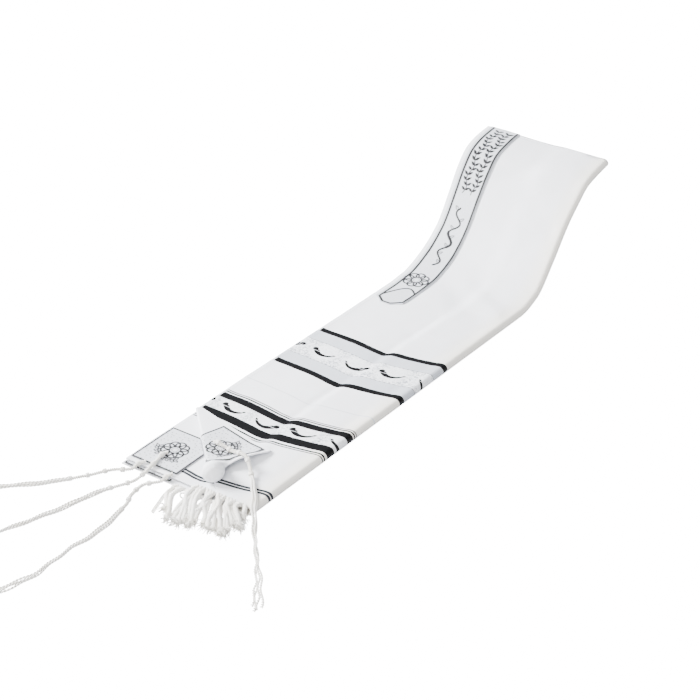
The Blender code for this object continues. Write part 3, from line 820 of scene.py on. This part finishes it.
# Past here, measured from the fringed end, the folded corner is drawn plain
FLAP_PLAIN_END = 0.122
FLAP_COLUMNS_UNDER = 14
FLAP_COLUMNS_OVER = 46
flap_rows = spread(0.004, 0.133, 60) + spread(0.133, NOSE_START, 42)[1:]
nose_length = FOLD_LENGTH - NOSE_START
flap_rows += [NOSE_START + nose_length * math.sin(math.pi / 2.0 * k / 16.0) for k in range(1, 17)]


def flap_point(i, j):
    """A point of the folded corner, and its place on the flat cloth."""
    distance = flap_rows[i]
    radius, reach = corner_section(distance)[:2]
    if j < FLAP_COLUMNS_UNDER:
        sideways = -math.pi * radius * (1.0 - j / FLAP_COLUMNS_UNDER)
    else:
        sideways = reach * (j - FLAP_COLUMNS_UNDER) / (FLAP_COLUMNS_OVER - 1)
    from_corner = np.array((distance - CORNER_ALONG, sideways - CORNER_REACH))
    flat_along = min(float(from_corner @ corner_hem_way), FLAP_PLAIN_END)
    flat_across = float(from_corner @ corner_end_way)
    share = 1.0
    if distance < CORNER_ALONG:
        edge = reach - sideways
        share = 1.0 - smooth((edge - HEM_WIDE) / HEM_SLOPE)
    thick = PLAIN_SHARE + (1.0 - PLAIN_SHARE) * share * 0.5
    return corner_point(distance, sideways), (flat_across, flat_along), thick


def above_flap(centre):
    """Upward over the folded corner."""
    return (0.0, 0.0, 1.0)


flap_columns = FLAP_COLUMNS_UNDER + FLAP_COLUMNS_OVER
folded_corner = cloth_piece("shawl_corner_folded", len(flap_rows), flap_columns, flap_point, above_flap)
stands_for(folded_corner, "corner_flap")

# Corner patches
# One satin patch sewn at each corner, by its tassel. Two show whole, one on the layer beneath and
# one on the folded corner, and a third shows at its edge.
TRIM = 0.0008
TRIM_GAP = 0.0004
TRIM_EDGE = 0.00025
TRIM_THREAD_DRAWN = 0.0008
PATCH_LONG = 0.085
PATCH_WIDE = 0.078
PATCH_MARGIN = 0.0055
PATCH_END_HEM = 0.002
PATCH_STOP = 0.158
PATCH_FOLD_GAP = 0.0065
LOWER_PATCH_START = -0.0065
LOWER_PATCH_STOP = -0.0006
PATCH_ROWS = 124
LOWER_PATCH_ROWS = 10
PATCH_COLUMNS = 112
PATCH_LINE = 3.0
PATCH_INSET = 1.4
MOTIF_AT = (43.0, 39.0)
SATIN_WHITE = "#D2D4D9"
SATIN_SHADE = "#AEB2BA"
INK = "#0E0F12"
# Half the width over which a drawn line fades at its edge, in mm
INK_FADE = 0.35


def line_of(away, thickness):
    """Ink of a line at a distance from its middle, in mm, with a soft edge."""
    return np.clip((thickness / 2.0 + INK_FADE - away) / (2.0 * INK_FADE), 0.0, 1.0)


def ink_over(*inks):
    """Several inks drawn over each other."""
    return np.maximum.reduce(inks)


def line_ink(spots, route, thickness):
    """Ink of a line through the route's points, in mm, at each spot."""
    nearest = np.full(len(spots), 1.0e9)
    route = np.array(route, float)
    for start, stop in zip(route, route[1:]):
        way = stop - start
        length = float(way @ way) or 1.0e-9
        share = np.clip((spots - start) @ way / length, 0.0, 1.0)
        away = spots - start - share[:, None] * way
        nearest = np.minimum(nearest, np.hypot(away[:, 0], away[:, 1]))
    return line_of(nearest, thickness)


def leaf_ink(spots, root, angle, length, width, outline):
    """Ink of a pointed leaf, filled, or drawn as an outline of the given thickness."""
    way = np.array((math.cos(angle), math.sin(angle)))
    off = spots - np.array(root, float)
    ahead = off @ way
    aside = off @ np.array((-way[1], way[0]))
    share = np.clip(ahead / length, 0.0, 1.0)
    half = width / 2.0 * np.sin(math.pi * share ** 0.8)
    inside = (ahead > 0.0) & (ahead < length)
    if outline:
        ink = np.clip((outline / 2.0 + 0.3 - np.abs(np.abs(aside) - half)) / 0.6, 0.0, 1.0)
        vein = np.clip((0.5 - np.abs(aside)) / 0.5, 0.0, 1.0) * (share < 0.8)
        return np.where(inside, np.maximum(ink, 0.6 * vein), 0.0)
    return np.where(inside, np.clip((half + 0.2 - np.abs(aside)) / 0.5, 0.0, 1.0), 0.0)


def rosette_ink(spots, centre, reach, petals, thickness):
    """Ink of a round flower: overlapping petal outlines about a ring of dots."""
    off = spots - np.array(centre, float)
    from_centre = np.hypot(off[:, 0], off[:, 1])
    ink = np.zeros(len(spots))
    petal = reach * 0.36
    middle = reach * 0.40
    for k in range(petals):
        angle = 2.0 * math.pi * k / petals
        at = np.array((math.cos(angle), math.sin(angle))) * (reach - petal)
        away = np.hypot(*(off - at).T)
        ring = line_of(np.abs(away - petal), thickness)
        seed = np.clip((1.1 - np.hypot(*(off - at * 0.36).T)) / 0.5, 0.0, 1.0)
        ink = ink_over(ink, np.where(from_centre > middle, ring, 0.0), seed)
    return ink_over(ink, line_of(np.abs(from_centre - middle), thickness))


def dots_ink(spots, long, wide, pitch, clear_at, clear_reach, seed):
    """Ink of small dots scattered over a ground, kept clear of the motif."""
    draws = random.Random(seed)
    ink = np.zeros(len(spots))
    for row in range(int(long / pitch)):
        for column in range(int(wide / pitch)):
            at = np.array((
                (row + 0.5 + draws.uniform(-0.35, 0.35)) * pitch,
                (column + 0.5 + draws.uniform(-0.35, 0.35)) * pitch,
            ))
            if np.hypot(*(at - clear_at)) < clear_reach:
                continue
            away = np.hypot(*(spots - at).T)
            ink = ink_over(ink, 0.75 * np.clip((1.15 - away) / 0.5, 0.0, 1.0))
    return ink


def patch_ink(spots, seed):
    """Ink of a corner patch: a border, a dotted ground, and a flower with two leafy sprays."""
    long, wide = PATCH_LONG * 1000.0, PATCH_WIDE * 1000.0
    far, broad = long - PATCH_INSET, wide - PATCH_INSET
    border = (
        (PATCH_INSET, PATCH_INSET), (far, PATCH_INSET), (far, broad),
        (PATCH_INSET, broad), (PATCH_INSET, PATCH_INSET),
    )
    ink = ink_over(
        line_ink(spots, border, PATCH_LINE),
        rosette_ink(spots, MOTIF_AT, reach=19.0, petals=9, thickness=2.5),
        dots_ink(spots, long, wide, 6.6, np.array(MOTIF_AT), clear_reach=22.0, seed=seed),
    )
    for side in (-1.0, 1.0):
        stem = []
        for share in spread(0.0, 1.0, 12):
            angle = math.radians(200.0 + 62.0 * side * share)
            reach = 20.5 + 3.5 * share
            stem.append((MOTIF_AT[0] + reach * math.cos(angle), MOTIF_AT[1] + reach * math.sin(angle)))
        ink = ink_over(ink, line_ink(spots, stem, thickness=2.0))
        for number in (2, 5, 8, 10):
            ahead = np.subtract(stem[number + 1], stem[number])
            way = math.atan2(ahead[1], ahead[0])
            for turn in (-0.7, 0.7):
                leaf = leaf_ink(
                    spots, stem[number], way + turn, length=8.0, width=3.8, outline=1.5
                )
                ink = ink_over(ink, leaf)
    tail = [
        (MOTIF_AT[0] - 17.0 - k * 2.4, MOTIF_AT[1] - 5.0 + 2.2 * math.sin(k * 1.1))
        for k in range(7)
    ]
    return ink_over(ink, line_ink(spots, tail, thickness=1.7))


def trim_piece(name, node, rows, columns, place_point, ink_of):
    """A sewn-on trim: a fine grid laid on the cloth, with its woven drawing kept as an attribute."""
    piece = new_piece(name, drape_grid(rows, columns, place_point), figured_satin)
    spots = np.zeros((len(piece.data.vertices), 2))
    for loop, corner in zip(piece.data.loops, piece.data.uv_layers[0].data):
        spots[loop.vertex_index] = corner.uv
    ink = piece.data.attributes.new("ink", "FLOAT", "POINT")
    ink.data.foreach_set("value", ink_of(spots * 1000.0).astype(np.float32))
    if np.mean([polygon.normal.z for polygon in piece.data.polygons]) < 0.0:
        piece.data.flip_normals()
    add_wall(piece, TRIM, TRIM_EDGE)
    stands_for(piece, node)
    return piece


# Jacquard satin: smooth silver-white threads with dark figures, so it is glossier than the cloth
figured_satin, tree, shader = new_material("jacquard_satin")
flat_trim = add(tree, "ShaderNodeUVMap", uv_map="flat_cloth").outputs[0]
trim_parts = add(tree, "ShaderNodeSeparateXYZ", {0: flat_trim})
shimmer = noise_over(tree, flat_trim, scale=420.0, detail=2.0)
satin_ground = mix(tree, shimmer, linear(SATIN_WHITE), linear(SATIN_SHADE))
ink_value = add(tree, "ShaderNodeAttribute", attribute_name="ink").outputs["Fac"]
satin_figured = mix(tree, ink_value, satin_ground, linear(INK))
satin_weave = weave_height(tree, trim_parts.outputs[0], trim_parts.outputs[1], TRIM_THREAD_DRAWN)
satin_height = calc(tree, "ADD", ink_value, satin_weave)
satin_relief = bump_of(tree, satin_height, strength=0.3, distance=0.0003)
finish_shader(tree, shader, satin_figured, satin_relief, {
    "Roughness": 0.55, "Specular IOR Level": 0.12, "Sheen Weight": 0.02,
})


def left_patch_point(i, j):
    """A point of the patch on the second layer's corner."""
    across = PATCH_MARGIN + PATCH_WIDE * j / (PATCH_COLUMNS - 1)
    start = PATCH_MARGIN + PATCH_END_HEM
    y = WIDTH / 2.0 - across
    fold_x = FOLD_START[0] + (y - FOLD_START[1]) * FOLD_WAY[0] / FOLD_WAY[1]
    stop = min(start + PATCH_LONG, fold_x - END_X - PATCH_FOLD_GAP)
    along = start + (stop - start) * i / (PATCH_ROWS - 1)
    height = stack_height(along, across) - PACKED_CLOTH - LAYER_GAP + TRIM_GAP + TRIM
    height += 0.0002 * noise.noise(Vector((along * 60.0, across * 60.0, 3.3)))
    return place(along, across, height), (along - start, across - PATCH_MARGIN), 1.0


def right_patch_width(step):
    """Where a row of the right patch starts, and how far it reaches: round the fold, or to the nose."""
    start = np.array((CORNER_ALONG, CORNER_REACH)) + corner_hem_way * step
    to_crest = start[1] / -corner_end_way[1]
    wrapped = 1.5 * corner_section(min(PATCH_STOP, start[0] + to_crest * corner_end_way[0]))[0]
    to_nose = (PATCH_STOP - start[0]) / corner_end_way[0]
    return start, min(PATCH_MARGIN + PATCH_WIDE, to_crest + wrapped, to_nose)


def right_patch_ink(spots):
    """Ink of the right patch, with its border drawn where it meets the nose."""
    meets = []
    for step in spread(PATCH_INSET, 30.0, 12):
        width = right_patch_width(PATCH_MARGIN + step / 1000.0)[1]
        meets.append((step, (width - PATCH_MARGIN) * 1000.0 - PATCH_INSET))
    return ink_over(patch_ink(spots, 8), line_ink(spots, meets, PATCH_LINE))


def right_patch_point(i, j):
    """A point of the patch on the folded corner."""
    step = PATCH_MARGIN + PATCH_LONG * i / (PATCH_ROWS - 1)
    start, widest = right_patch_width(step)
    reach = PATCH_MARGIN + (widest - PATCH_MARGIN) * j / (PATCH_COLUMNS - 1)
    distance, sideways = start + corner_end_way * reach
    point = corner_lifted(distance, sideways, TRIM_GAP + TRIM)
    return point, (step - PATCH_MARGIN, reach - PATCH_MARGIN), 1.0


def lower_patch_point(i, j):
    """A point of the patch whose edge shows on the third layer."""
    across = PATCH_MARGIN + PATCH_WIDE * j / (PATCH_COLUMNS - 1)
    along = LOWER_PATCH_START + (LOWER_PATCH_STOP - LOWER_PATCH_START) * i / (LOWER_PATCH_ROWS - 1)
    low = PACKED_CLOTH + LAYER_GAP
    height = low + (stack_height(along, across) - 2.0 * low) * 0.5 + TRIM
    return place(along, across, height), (along - LOWER_PATCH_START, across - PATCH_MARGIN), 1.0


patch_left = trim_piece(
    "patch_left", "corner_patch_left", PATCH_ROWS, PATCH_COLUMNS, left_patch_point,
    lambda spots: patch_ink(spots, 3),
)
patch_right = trim_piece(
    "patch_right", "corner_patch_right", PATCH_ROWS, PATCH_COLUMNS,
    right_patch_point, right_patch_ink,
)
patch_lower = trim_piece(
    "patch_lower", "corner_patch_lower", LOWER_PATCH_ROWS, PATCH_COLUMNS,
    lower_patch_point, lambda spots: patch_ink(spots, 5),
)

# Neckband
# A strip of the same satin with a tapered end, sewn along the middle of one hem. It turns over
# the centre fold, and a leafy scroll is woven into its raised part.
BAND_START = 0.545
BAND_TIP = 0.015
BAND_LEFT = 0.008
BAND_WIDTH = 0.052
BAND_COLUMNS = 66
# The drawing, in mm: line thickness, the border lines' places across, and how far it runs
BAND_INK = 3.8
BAND_BORDER = (6.0, 47.8)
BAND_DRAWN = 420.0
band_rows = [(along, 0.0) for along in spread(BAND_START, LENGTH - 0.001, 470)]
band_rows += [(LENGTH, math.radians(degrees)) for degrees in CENTRE_CURL[:-1]]


def band_point(i, j):
    """A point of the neckband's upper side."""
    along, turn = band_rows[i]
    narrow = 0.30 * (1.0 - smooth((along - BAND_START) / BAND_TIP)) * BAND_WIDTH
    left, right = BAND_LEFT + narrow, BAND_LEFT + BAND_WIDTH - narrow
    across = left + (right - left) * j / (BAND_COLUMNS - 1)
    quiet = 1.0 - smooth(turn)
    height = stack_height(along, across) + creases(TOP_CREASES, along, across) * quiet
    middle = stack_height(along, across) / 2.0
    lift = TRIM_GAP + TRIM
    station = along
    if turn:
        station = LENGTH - middle + (middle + lift) * math.sin(turn)
    level = middle + (height - middle + lift) * math.cos(turn)
    flat_along = along - BAND_START + (middle + lift) * turn
    return place(station, across, level), (flat_along, across - BAND_LEFT), 1.0


def band_ink(spots):
    """Ink of the neckband: border, blank panel, flower, sprigs and a leafy scroll."""
    left, right = BAND_BORDER
    border = (
        (BAND_DRAWN, left), (14.0, left), (2.2, 19.5), (2.2, 33.0), (15.0, right), (BAND_DRAWN, right),
    )
    panel = [
        (20.0 + 27.0 * share + 23.0 * math.sin(math.pi * share), left + (right - left) * share)
        for share in spread(0.0, 1.0, 16)
    ]
    sprig = [(132.0 + 3.4 * k, 27.0 + 7.0 * math.sin(k * 0.56)) for k in range(34)]
    ink = ink_over(
        line_ink(spots, border, BAND_INK),
        0.7 * line_ink(spots, ((13.0, 50.9), (BAND_DRAWN, 50.9)), thickness=1.7),
        line_ink(spots, panel, thickness=3.2),
        rosette_ink(spots, (86.0, 25.0), reach=20.0, petals=8, thickness=2.8),
        line_ink(spots, sprig, thickness=3.2),
        line_ink(spots, sprig[12:21], thickness=4.6),
    )
    for number in range(2, 33, 5):
        side = 1.0 if number % 2 else -1.0
        leaf = leaf_ink(spots, sprig[number], 0.8 * side, length=9.0, width=3.6, outline=1.6)
        ink = ink_over(ink, 0.8 * leaf)
    for middle in (18.5, 35.5):
        scroll = [(268.0 + 2.6 * k, middle + 2.6 * math.sin(k * 0.5 + middle)) for k in range(46)]
        ink = ink_over(ink, line_ink(spots, scroll, thickness=1.6))
        for number in range(2, 45, 3):
            for side in (-0.95, 0.95):
                leaf = leaf_ink(spots, scroll[number], side, length=9.5, width=4.2, outline=0.0)
                ink = ink_over(ink, leaf)
    return ink


neckband = trim_piece(
    "neckband_strip", "neckband", len(band_rows), BAND_COLUMNS, band_point, band_ink
)

# Fringe
# Twisted wool cords, knotted into the ends of the layers. They lie bunched in two heaps, with
# soft surfaces and tips that have come untwisted.
CORD_PITCH = 0.0055
PLY_RADIUS = 0.00165
PLY_OFFSET = 0.00150
CORD_TURN = 0.0105
CORD_KNOT = (0.0028, 0.0024)
FIBRE_RADIUS = 0.00014
TUFT_RADIUS = 0.00045
TUFT_FIBRES = 44
CORD_FIBRES = 26
CORD_CLEAR = 0.0002
FIBRE_REACH = 0.0034
FIBRE_CURL = 0.0016
TUFT_REACH = (0.0035, 0.0085)
TUFT_CURL = 0.0022
YARN_WHITE = "#EAEAEA"
YARN_SHADE = "#D5D1C6"
# y of the root, x of the tip, y of the tip
FRINGE_LAY = (
    (-0.104, -0.357, -0.110),
    (-0.095, -0.364, -0.109),
    (-0.085, -0.374, -0.104),
    (-0.072, -0.392, -0.099),
    (-0.060, -0.398, -0.094),
    (-0.051, -0.393, -0.085),
    (-0.043, -0.399, -0.064),
    (-0.032, -0.403, -0.056),
    (-0.020, -0.405, -0.045),
    (-0.008, -0.407, -0.031),
    (0.005, -0.407, -0.018),
    (0.014, -0.401, -0.006),
)

# Wool yarn: matt, soft-edged fibres that let a little light through
wool_yarn, tree, shader = new_material("twisted_wool_yarn")
object_spot = add(tree, "ShaderNodeTexCoord").outputs["Object"]
fuzz = noise_over(tree, object_spot, scale=900.0, detail=3.0)
toning = noise_over(tree, object_spot, scale=45.0, detail=2.0)
yarn_colour = mix(tree, toning, linear(YARN_WHITE), linear(YARN_SHADE))
yarn_relief = bump_of(tree, fuzz, strength=0.5, distance=0.0005)
finish_shader(tree, shader, yarn_colour, yarn_relief, {
    "Roughness": 0.9, "Specular IOR Level": 0.12, "Sheen Weight": 0.08,
    "Subsurface Weight": 0.15, "Subsurface Radius": (0.002, 0.002, 0.0018), "Subsurface Scale": 0.5,
})


def strands_piece(name, strands):
    """One object from many round strands, each a list of points and its radius."""
    curve = bpy.data.curves.new(name, "CURVE")
    curve.dimensions = "3D"
    curve.bevel_depth = 1.0
    curve.bevel_resolution = 1
    curve.use_fill_caps = True
    for points, radius in strands:
        spline = curve.splines.new("POLY")
        spline.points.add(len(points) - 1)
        for number, (spot, place_at) in enumerate(zip(spline.points, points)):
            spot.co = (*place_at, 1.0)
            spot.radius = radius if number < len(points) - 1 else radius * 0.5
    drawn = bpy.data.objects.new(name + "_drawn", curve)
    bpy.context.scene.collection.objects.link(drawn)
    bpy.context.view_layer.update()
    settled = drawn.evaluated_get(bpy.context.evaluated_depsgraph_get())
    mesh = bpy.data.meshes.new_from_object(settled)
    bpy.data.objects.remove(drawn)
    return new_piece(name, mesh, wool_yarn)


def distance_along(path):
    """Distance from a path's start to each of its points."""
    return np.concatenate(([0.0], np.cumsum(np.linalg.norm(np.diff(path, axis=0), axis=1))))


def beside_path(path):
    """At each point of a path, the level way across it and the way square to both."""
    ways = np.gradient(path, axis=0)
    ways /= np.linalg.norm(ways, axis=1)[:, None]
    sides = np.cross(ways, (0.0, 0.0, 1.0))
    sides /= np.linalg.norm(sides, axis=1)[:, None]
    return sides, np.cross(sides, ways)


def above_table(thread, radius, clearance):
    """A thread and its radius, raised where it would sink into the table."""
    thread[:, 2] = np.maximum(thread[:, 2], radius + clearance)
    return thread, radius


def loose_way(draws, aside):
    """A random way aside, and mostly up."""
    x, y = draws.uniform(-aside, aside), draws.uniform(-aside, aside)
    return np.array((x, y, draws.uniform(-0.3, 1.0)))


def smooth_route(route, step):
    """Points every step along a smooth curve through the route."""
    knots = np.array(route, float)
    keys = distance_along(knots)
    rows = np.column_stack((keys, knots))
    count = max(6, int(keys[-1] / step))
    return np.array([read_table(rows, at) for at in spread(0.0, float(keys[-1]), count)])


def twist_plies(path, plies, offset, turn, start_angle, loosen=0.0):
    """Plies wound about a path. Towards the end they loosen by the given extra offset."""
    sides, rises = beside_path(path)
    travelled = distance_along(path)
    share = travelled / travelled[-1]
    wide = offset + loosen * np.clip((share - 0.72) / 0.28, 0.0, 1.0) ** 2
    made = []
    for k in range(plies):
        angle = start_angle + 2.0 * math.pi * (k / plies + travelled / turn)
        aside, up = wide * np.cos(angle), wide * np.sin(angle)
        made.append(path + sides * aside[:, None] + rises * up[:, None])
    return made


def fringe_piece(name, first_root, count, root_x, root_level, levels, seed, extra):
    """A row of twisted cords from one layer's end, heaped as they lie, with frayed tips."""
    draws = random.Random(seed)
    strands = []
    for number in range(count):
        y = first_root - CORD_PITCH * number
        tip_x, tip_y = read_table(FRINGE_LAY, y)
        tip_x += draws.uniform(-0.001, 0.013)
        tip_y += draws.uniform(-0.007, 0.007)
        bend_y = draws.uniform(-0.007, 0.007)
        heap = draws.uniform(0.0, 0.0075)
        route = [np.array((root_x + 0.0012, y, root_level(y)))]
        for share, level in zip((0.10, 0.30, 0.52, 0.76, 1.0), levels):
            x = root_x + (tip_x - root_x) * share
            across = y + (tip_y - y) * share ** 1.2 + bend_y * math.sin(math.pi * share * 1.6)
            lifted = level + heap * math.sin(math.pi * min(1.0, share * 0.9 + 0.08))
            route.append(np.array((x, across, lifted)))
        path = smooth_route(route, step=0.0012)
        for ply in twist_plies(path, 3, PLY_OFFSET, CORD_TURN, draws.uniform(0.0, 6.0), loosen=0.0018):
            strands.append(above_table(ply, PLY_RADIUS, CORD_CLEAR))
        # A knot near the root, of one turn of cord round the others
        knot = []
        for angle in spread(0.0, 2.0 * math.pi, 11):
            turned = (0.0, CORD_KNOT[0] * math.cos(angle), CORD_KNOT[1] * math.sin(angle))
            knot.append(route[1] + np.array(turned))
        strands.append((np.array(knot), PLY_RADIUS * 0.85))
        # Fibres that stand off the cord, and a loose tuft at its tip
        for _ in range(CORD_FIBRES):
            root = path[draws.randrange(3, len(path))]
            spray = loose_way(draws, aside=1.0)
            fibre = curl_fibre(root, spray * FIBRE_REACH, spray[::-1] * FIBRE_CURL)
            strands.append((fibre, FIBRE_RADIUS))
        way = unit(path[-1] - path[-6])
        for _ in range(TUFT_FIBRES):
            root = path[-1 - draws.randrange(7)]
            spray = loose_way(draws, aside=0.95)
            reach = draws.uniform(*TUFT_REACH)
            fibre = curl_fibre(root, (way + spray) * reach, spray[::-1] * TUFT_CURL)
            strands.append((fibre, TUFT_RADIUS))
    piece = strands_piece(name + "_cords", strands + extra)
    stands_for(piece, name)
    return piece


def curl_fibre(root, reach, curl):
    """A short curved fibre from its root, which stays above the table."""
    points = []
    for share in spread(0.0, 1.0, 5):
        spot = root + reach * share + curl * math.sin(math.pi * share)
        spot[2] = max(spot[2], 2.0 * TUFT_RADIUS)
        points.append(spot)
    return np.array(points)


def top_end_level(y):
    """Middle height of the top layer at its fringed end."""
    return stack_height(0.0, WIDTH / 2.0 - y) - PACKED_CLOTH / 2.0


def lower_end_level(y):
    """Middle height of the lower layers at their fringed end, the same all along it."""
    return PACKED_CLOTH + LAYER_GAP + CLOTH


# A flat tape of loose yarns beside the lower fringe, and a small loop of yarn
TAPE_ROUTE = (
    (-0.3440, 0.0120, 0.0042),
    (-0.3600, 0.0135, 0.0020),
    (-0.3800, 0.0080, 0.0016),
    (-0.4030, 0.0000, 0.0016),
)
TAPE_YARNS = (-2.4, -1.2, 0.0, 1.2, 2.4)
TAPE_YARN_RADIUS = 0.0007
LOOP_AT = (-0.3585, -0.0135, 0.0085)
LOOP_SIZE = (0.0042, 0.0034, 0.0018)
tape = []
for aside in TAPE_YARNS:
    yarn = smooth_route(TAPE_ROUTE, step=0.002) + np.array((aside * 0.25, aside, 0.0)) / 1000.0
    tape.append((yarn, TAPE_YARN_RADIUS))
loop = []
for angle in spread(-0.4, 2.0 * math.pi - 0.4, 22):
    off = np.multiply(LOOP_SIZE, (math.cos(angle), math.sin(angle), math.sin(angle)))
    loop.append(np.add(LOOP_AT, off))
tape.append((np.array(loop), PLY_RADIUS * 0.7))

fringe_upper = fringe_piece(
    "fringe_upper", first_root=-0.0180, count=15, root_x=END_X, root_level=top_end_level,
    levels=(0.0098, 0.0084, 0.0072, 0.0062, 0.0050), seed=11, extra=[],
)
fringe_lower = fringe_piece(
    "fringe_lower", first_root=0.0105, count=20, root_x=END_X - LOWER_LAYER_REACH,
    root_level=lower_end_level, levels=(0.0038, 0.0034, 0.0034, 0.0034, 0.0034), seed=23, extra=tape,
)

# Knotted tassels
# One at each corner of the cloth: a core with a cord bound round it between knots, and then
# eight long strands in loosely twisted pairs.
TASSEL_HEAD = 0.105
TASSEL_CLEAR = 0.0003
CORE_RADIUS = 0.0012
CORE_OFFSET = 0.0007
CORE_TURN = 0.006
WINDING_RADIUS = 0.00075
WINDING_OFFSET = 0.0019
WINDING_TURN = 0.0027
KNOTS = 5
KNOT_HALF = 9
KNOT_RADIUS = 0.00095
KNOT_OFFSET = 0.0029
KNOT_TURN = 0.0026
STRAND_RADIUS = 0.00082
PAIR_OFFSET = 0.00078
PAIR_TURN = 0.0095
TASSEL_ROUTES = {
    "tzitzit_1": (
        (-0.3280, 0.0760, 0.0105),
        (-0.3365, 0.0800, 0.0100),
        (-0.3452, 0.0840, 0.0048),
        (-0.360, 0.105, 0.0030),
        (-0.388, 0.122, 0.0028),
        (-0.436, 0.158, 0.0028),
        (-0.474, 0.195, 0.0028),
        (-0.530, 0.245, 0.0028),
        (-0.606, 0.296, 0.0028),
    ),
    "tzitzit_2": (
        (-0.2960, 0.0665, 0.0100),
        (-0.3010, 0.0675, 0.0119),
        (-0.331, 0.0620, 0.0116),
        (-0.346, 0.0610, 0.0088),
        (-0.364, 0.0650, 0.0036),
        (-0.408, 0.085, 0.0028),
        (-0.464, 0.098, 0.0028),
        (-0.545, 0.124, 0.0028),
        (-0.602, 0.146, 0.0028),
        (-0.659, 0.160, 0.0028),
    ),
    "tzitzit_3": (
        (-0.3300, 0.0280, 0.0105),
        (-0.3380, 0.0310, 0.0096),
        (-0.3446, 0.0340, 0.0048),
        (-0.366, 0.050, 0.0030),
        (-0.388, 0.047, 0.0028),
        (-0.411, 0.037, 0.0028),
        (-0.485, 0.026, 0.0028),
        (-0.520, 0.029, 0.0028),
        (-0.581, 0.027, 0.0028),
        (-0.632, 0.038, 0.0028),
        (-0.668, 0.050, 0.0028),
    ),
    "tzitzit_4": (
        (-0.2460, 0.0270, 0.0165),
        (-0.248, 0.0215, 0.0196),
        (-0.254, -0.006, 0.0202),
        (-0.259, -0.024, 0.0254),
        (-0.264, -0.039, 0.0292),
        (-0.272, -0.052, 0.0240),
        (-0.286, -0.067, 0.0182),
        (-0.308, -0.088, 0.0164),
        (-0.332, -0.107, 0.0145),
        (-0.352, -0.123, 0.0096),
        (-0.376, -0.143, 0.0038),
        (-0.410, -0.174, 0.0028),
        (-0.448, -0.205, 0.0028),
        (-0.487, -0.231, 0.0028),
    ),
}
# Where each pair of strands lies from the middle of the bundle, aside and up, in mm
PAIR_SPOTS = ((-2.9, -0.6), (-1.2, 0.9), (1.2, -0.6), (2.8, 0.6))


def tassel_piece(name, route, seed):
    """A tassel along its route."""
    draws = random.Random(seed)
    fine = smooth_route(route, step=0.0011)
    travelled = distance_along(fine)
    head = int(np.searchsorted(travelled, TASSEL_HEAD))
    core = twist_plies(fine[:head + 2], 2, CORE_OFFSET, CORE_TURN, 0.0)
    strands = [(ply, CORE_RADIUS) for ply in core]
    bound = smooth_route(route, step=0.00024)
    bound = bound[:int(len(bound) * TASSEL_HEAD / travelled[-1])]
    winding = twist_plies(bound, 1, WINDING_OFFSET, WINDING_TURN, 0.0)[0]
    strands.append(above_table(winding, WINDING_RADIUS, TASSEL_CLEAR))
    for number in range(KNOTS):
        middle = int(len(bound) * (0.10 + 0.88 * number / (KNOTS - 1)))
        span = bound[max(0, middle - KNOT_HALF):middle + KNOT_HALF]
        for start_angle in (0.0, 2.1, 4.2):
            knot = twist_plies(span, 1, KNOT_OFFSET, KNOT_TURN, start_angle)[0]
            strands.append(above_table(knot, KNOT_RADIUS, TASSEL_CLEAR))
    rest = fine[head - 2:]
    count = len(rest)
    sides = beside_path(rest)[0]
    share = np.linspace(0.0, 1.0, count)
    phase_all = draws.uniform(-0.5, 0.8)
    for number, (aside, up) in enumerate(PAIR_SPOTS):
        phase = draws.uniform(0.0, 6.28)
        waves = draws.uniform(5.0, 8.0)
        swing = np.sin(share * waves * 2.0 * math.pi + phase) * (0.4 + 1.3 * share) / 1000.0
        swing += np.sin(share * 2.3 * math.pi + phase) * 1.2 * share / 1000.0
        opened = 0.62 + 0.38 * share + 0.35 * np.sin(share * 9.0 + phase_all)
        opened += 0.9 * np.clip((share - 0.8) / 0.2, 0.0, 1.0) ** 2
        path = rest + sides * (aside / 1000.0 * opened + swing)[:, None]
        path[:, 2] += up / 1000.0 * (1.0 - 0.35 * share)
        end = count - draws.randrange(0, 9)
        for ply in twist_plies(path[:end], 2, PAIR_OFFSET, PAIR_TURN, phase, loosen=0.0006):
            strands.append(above_table(ply, STRAND_RADIUS, TASSEL_CLEAR))
    piece = strands_piece(name + "_cords", strands)
    stands_for(piece, name)
    return piece


tassels = {
    name: tassel_piece(name, route, seed=40 + number)
    for number, (name, route) in enumerate(TASSEL_ROUTES.items())
}

bpy.context.view_layer.update()
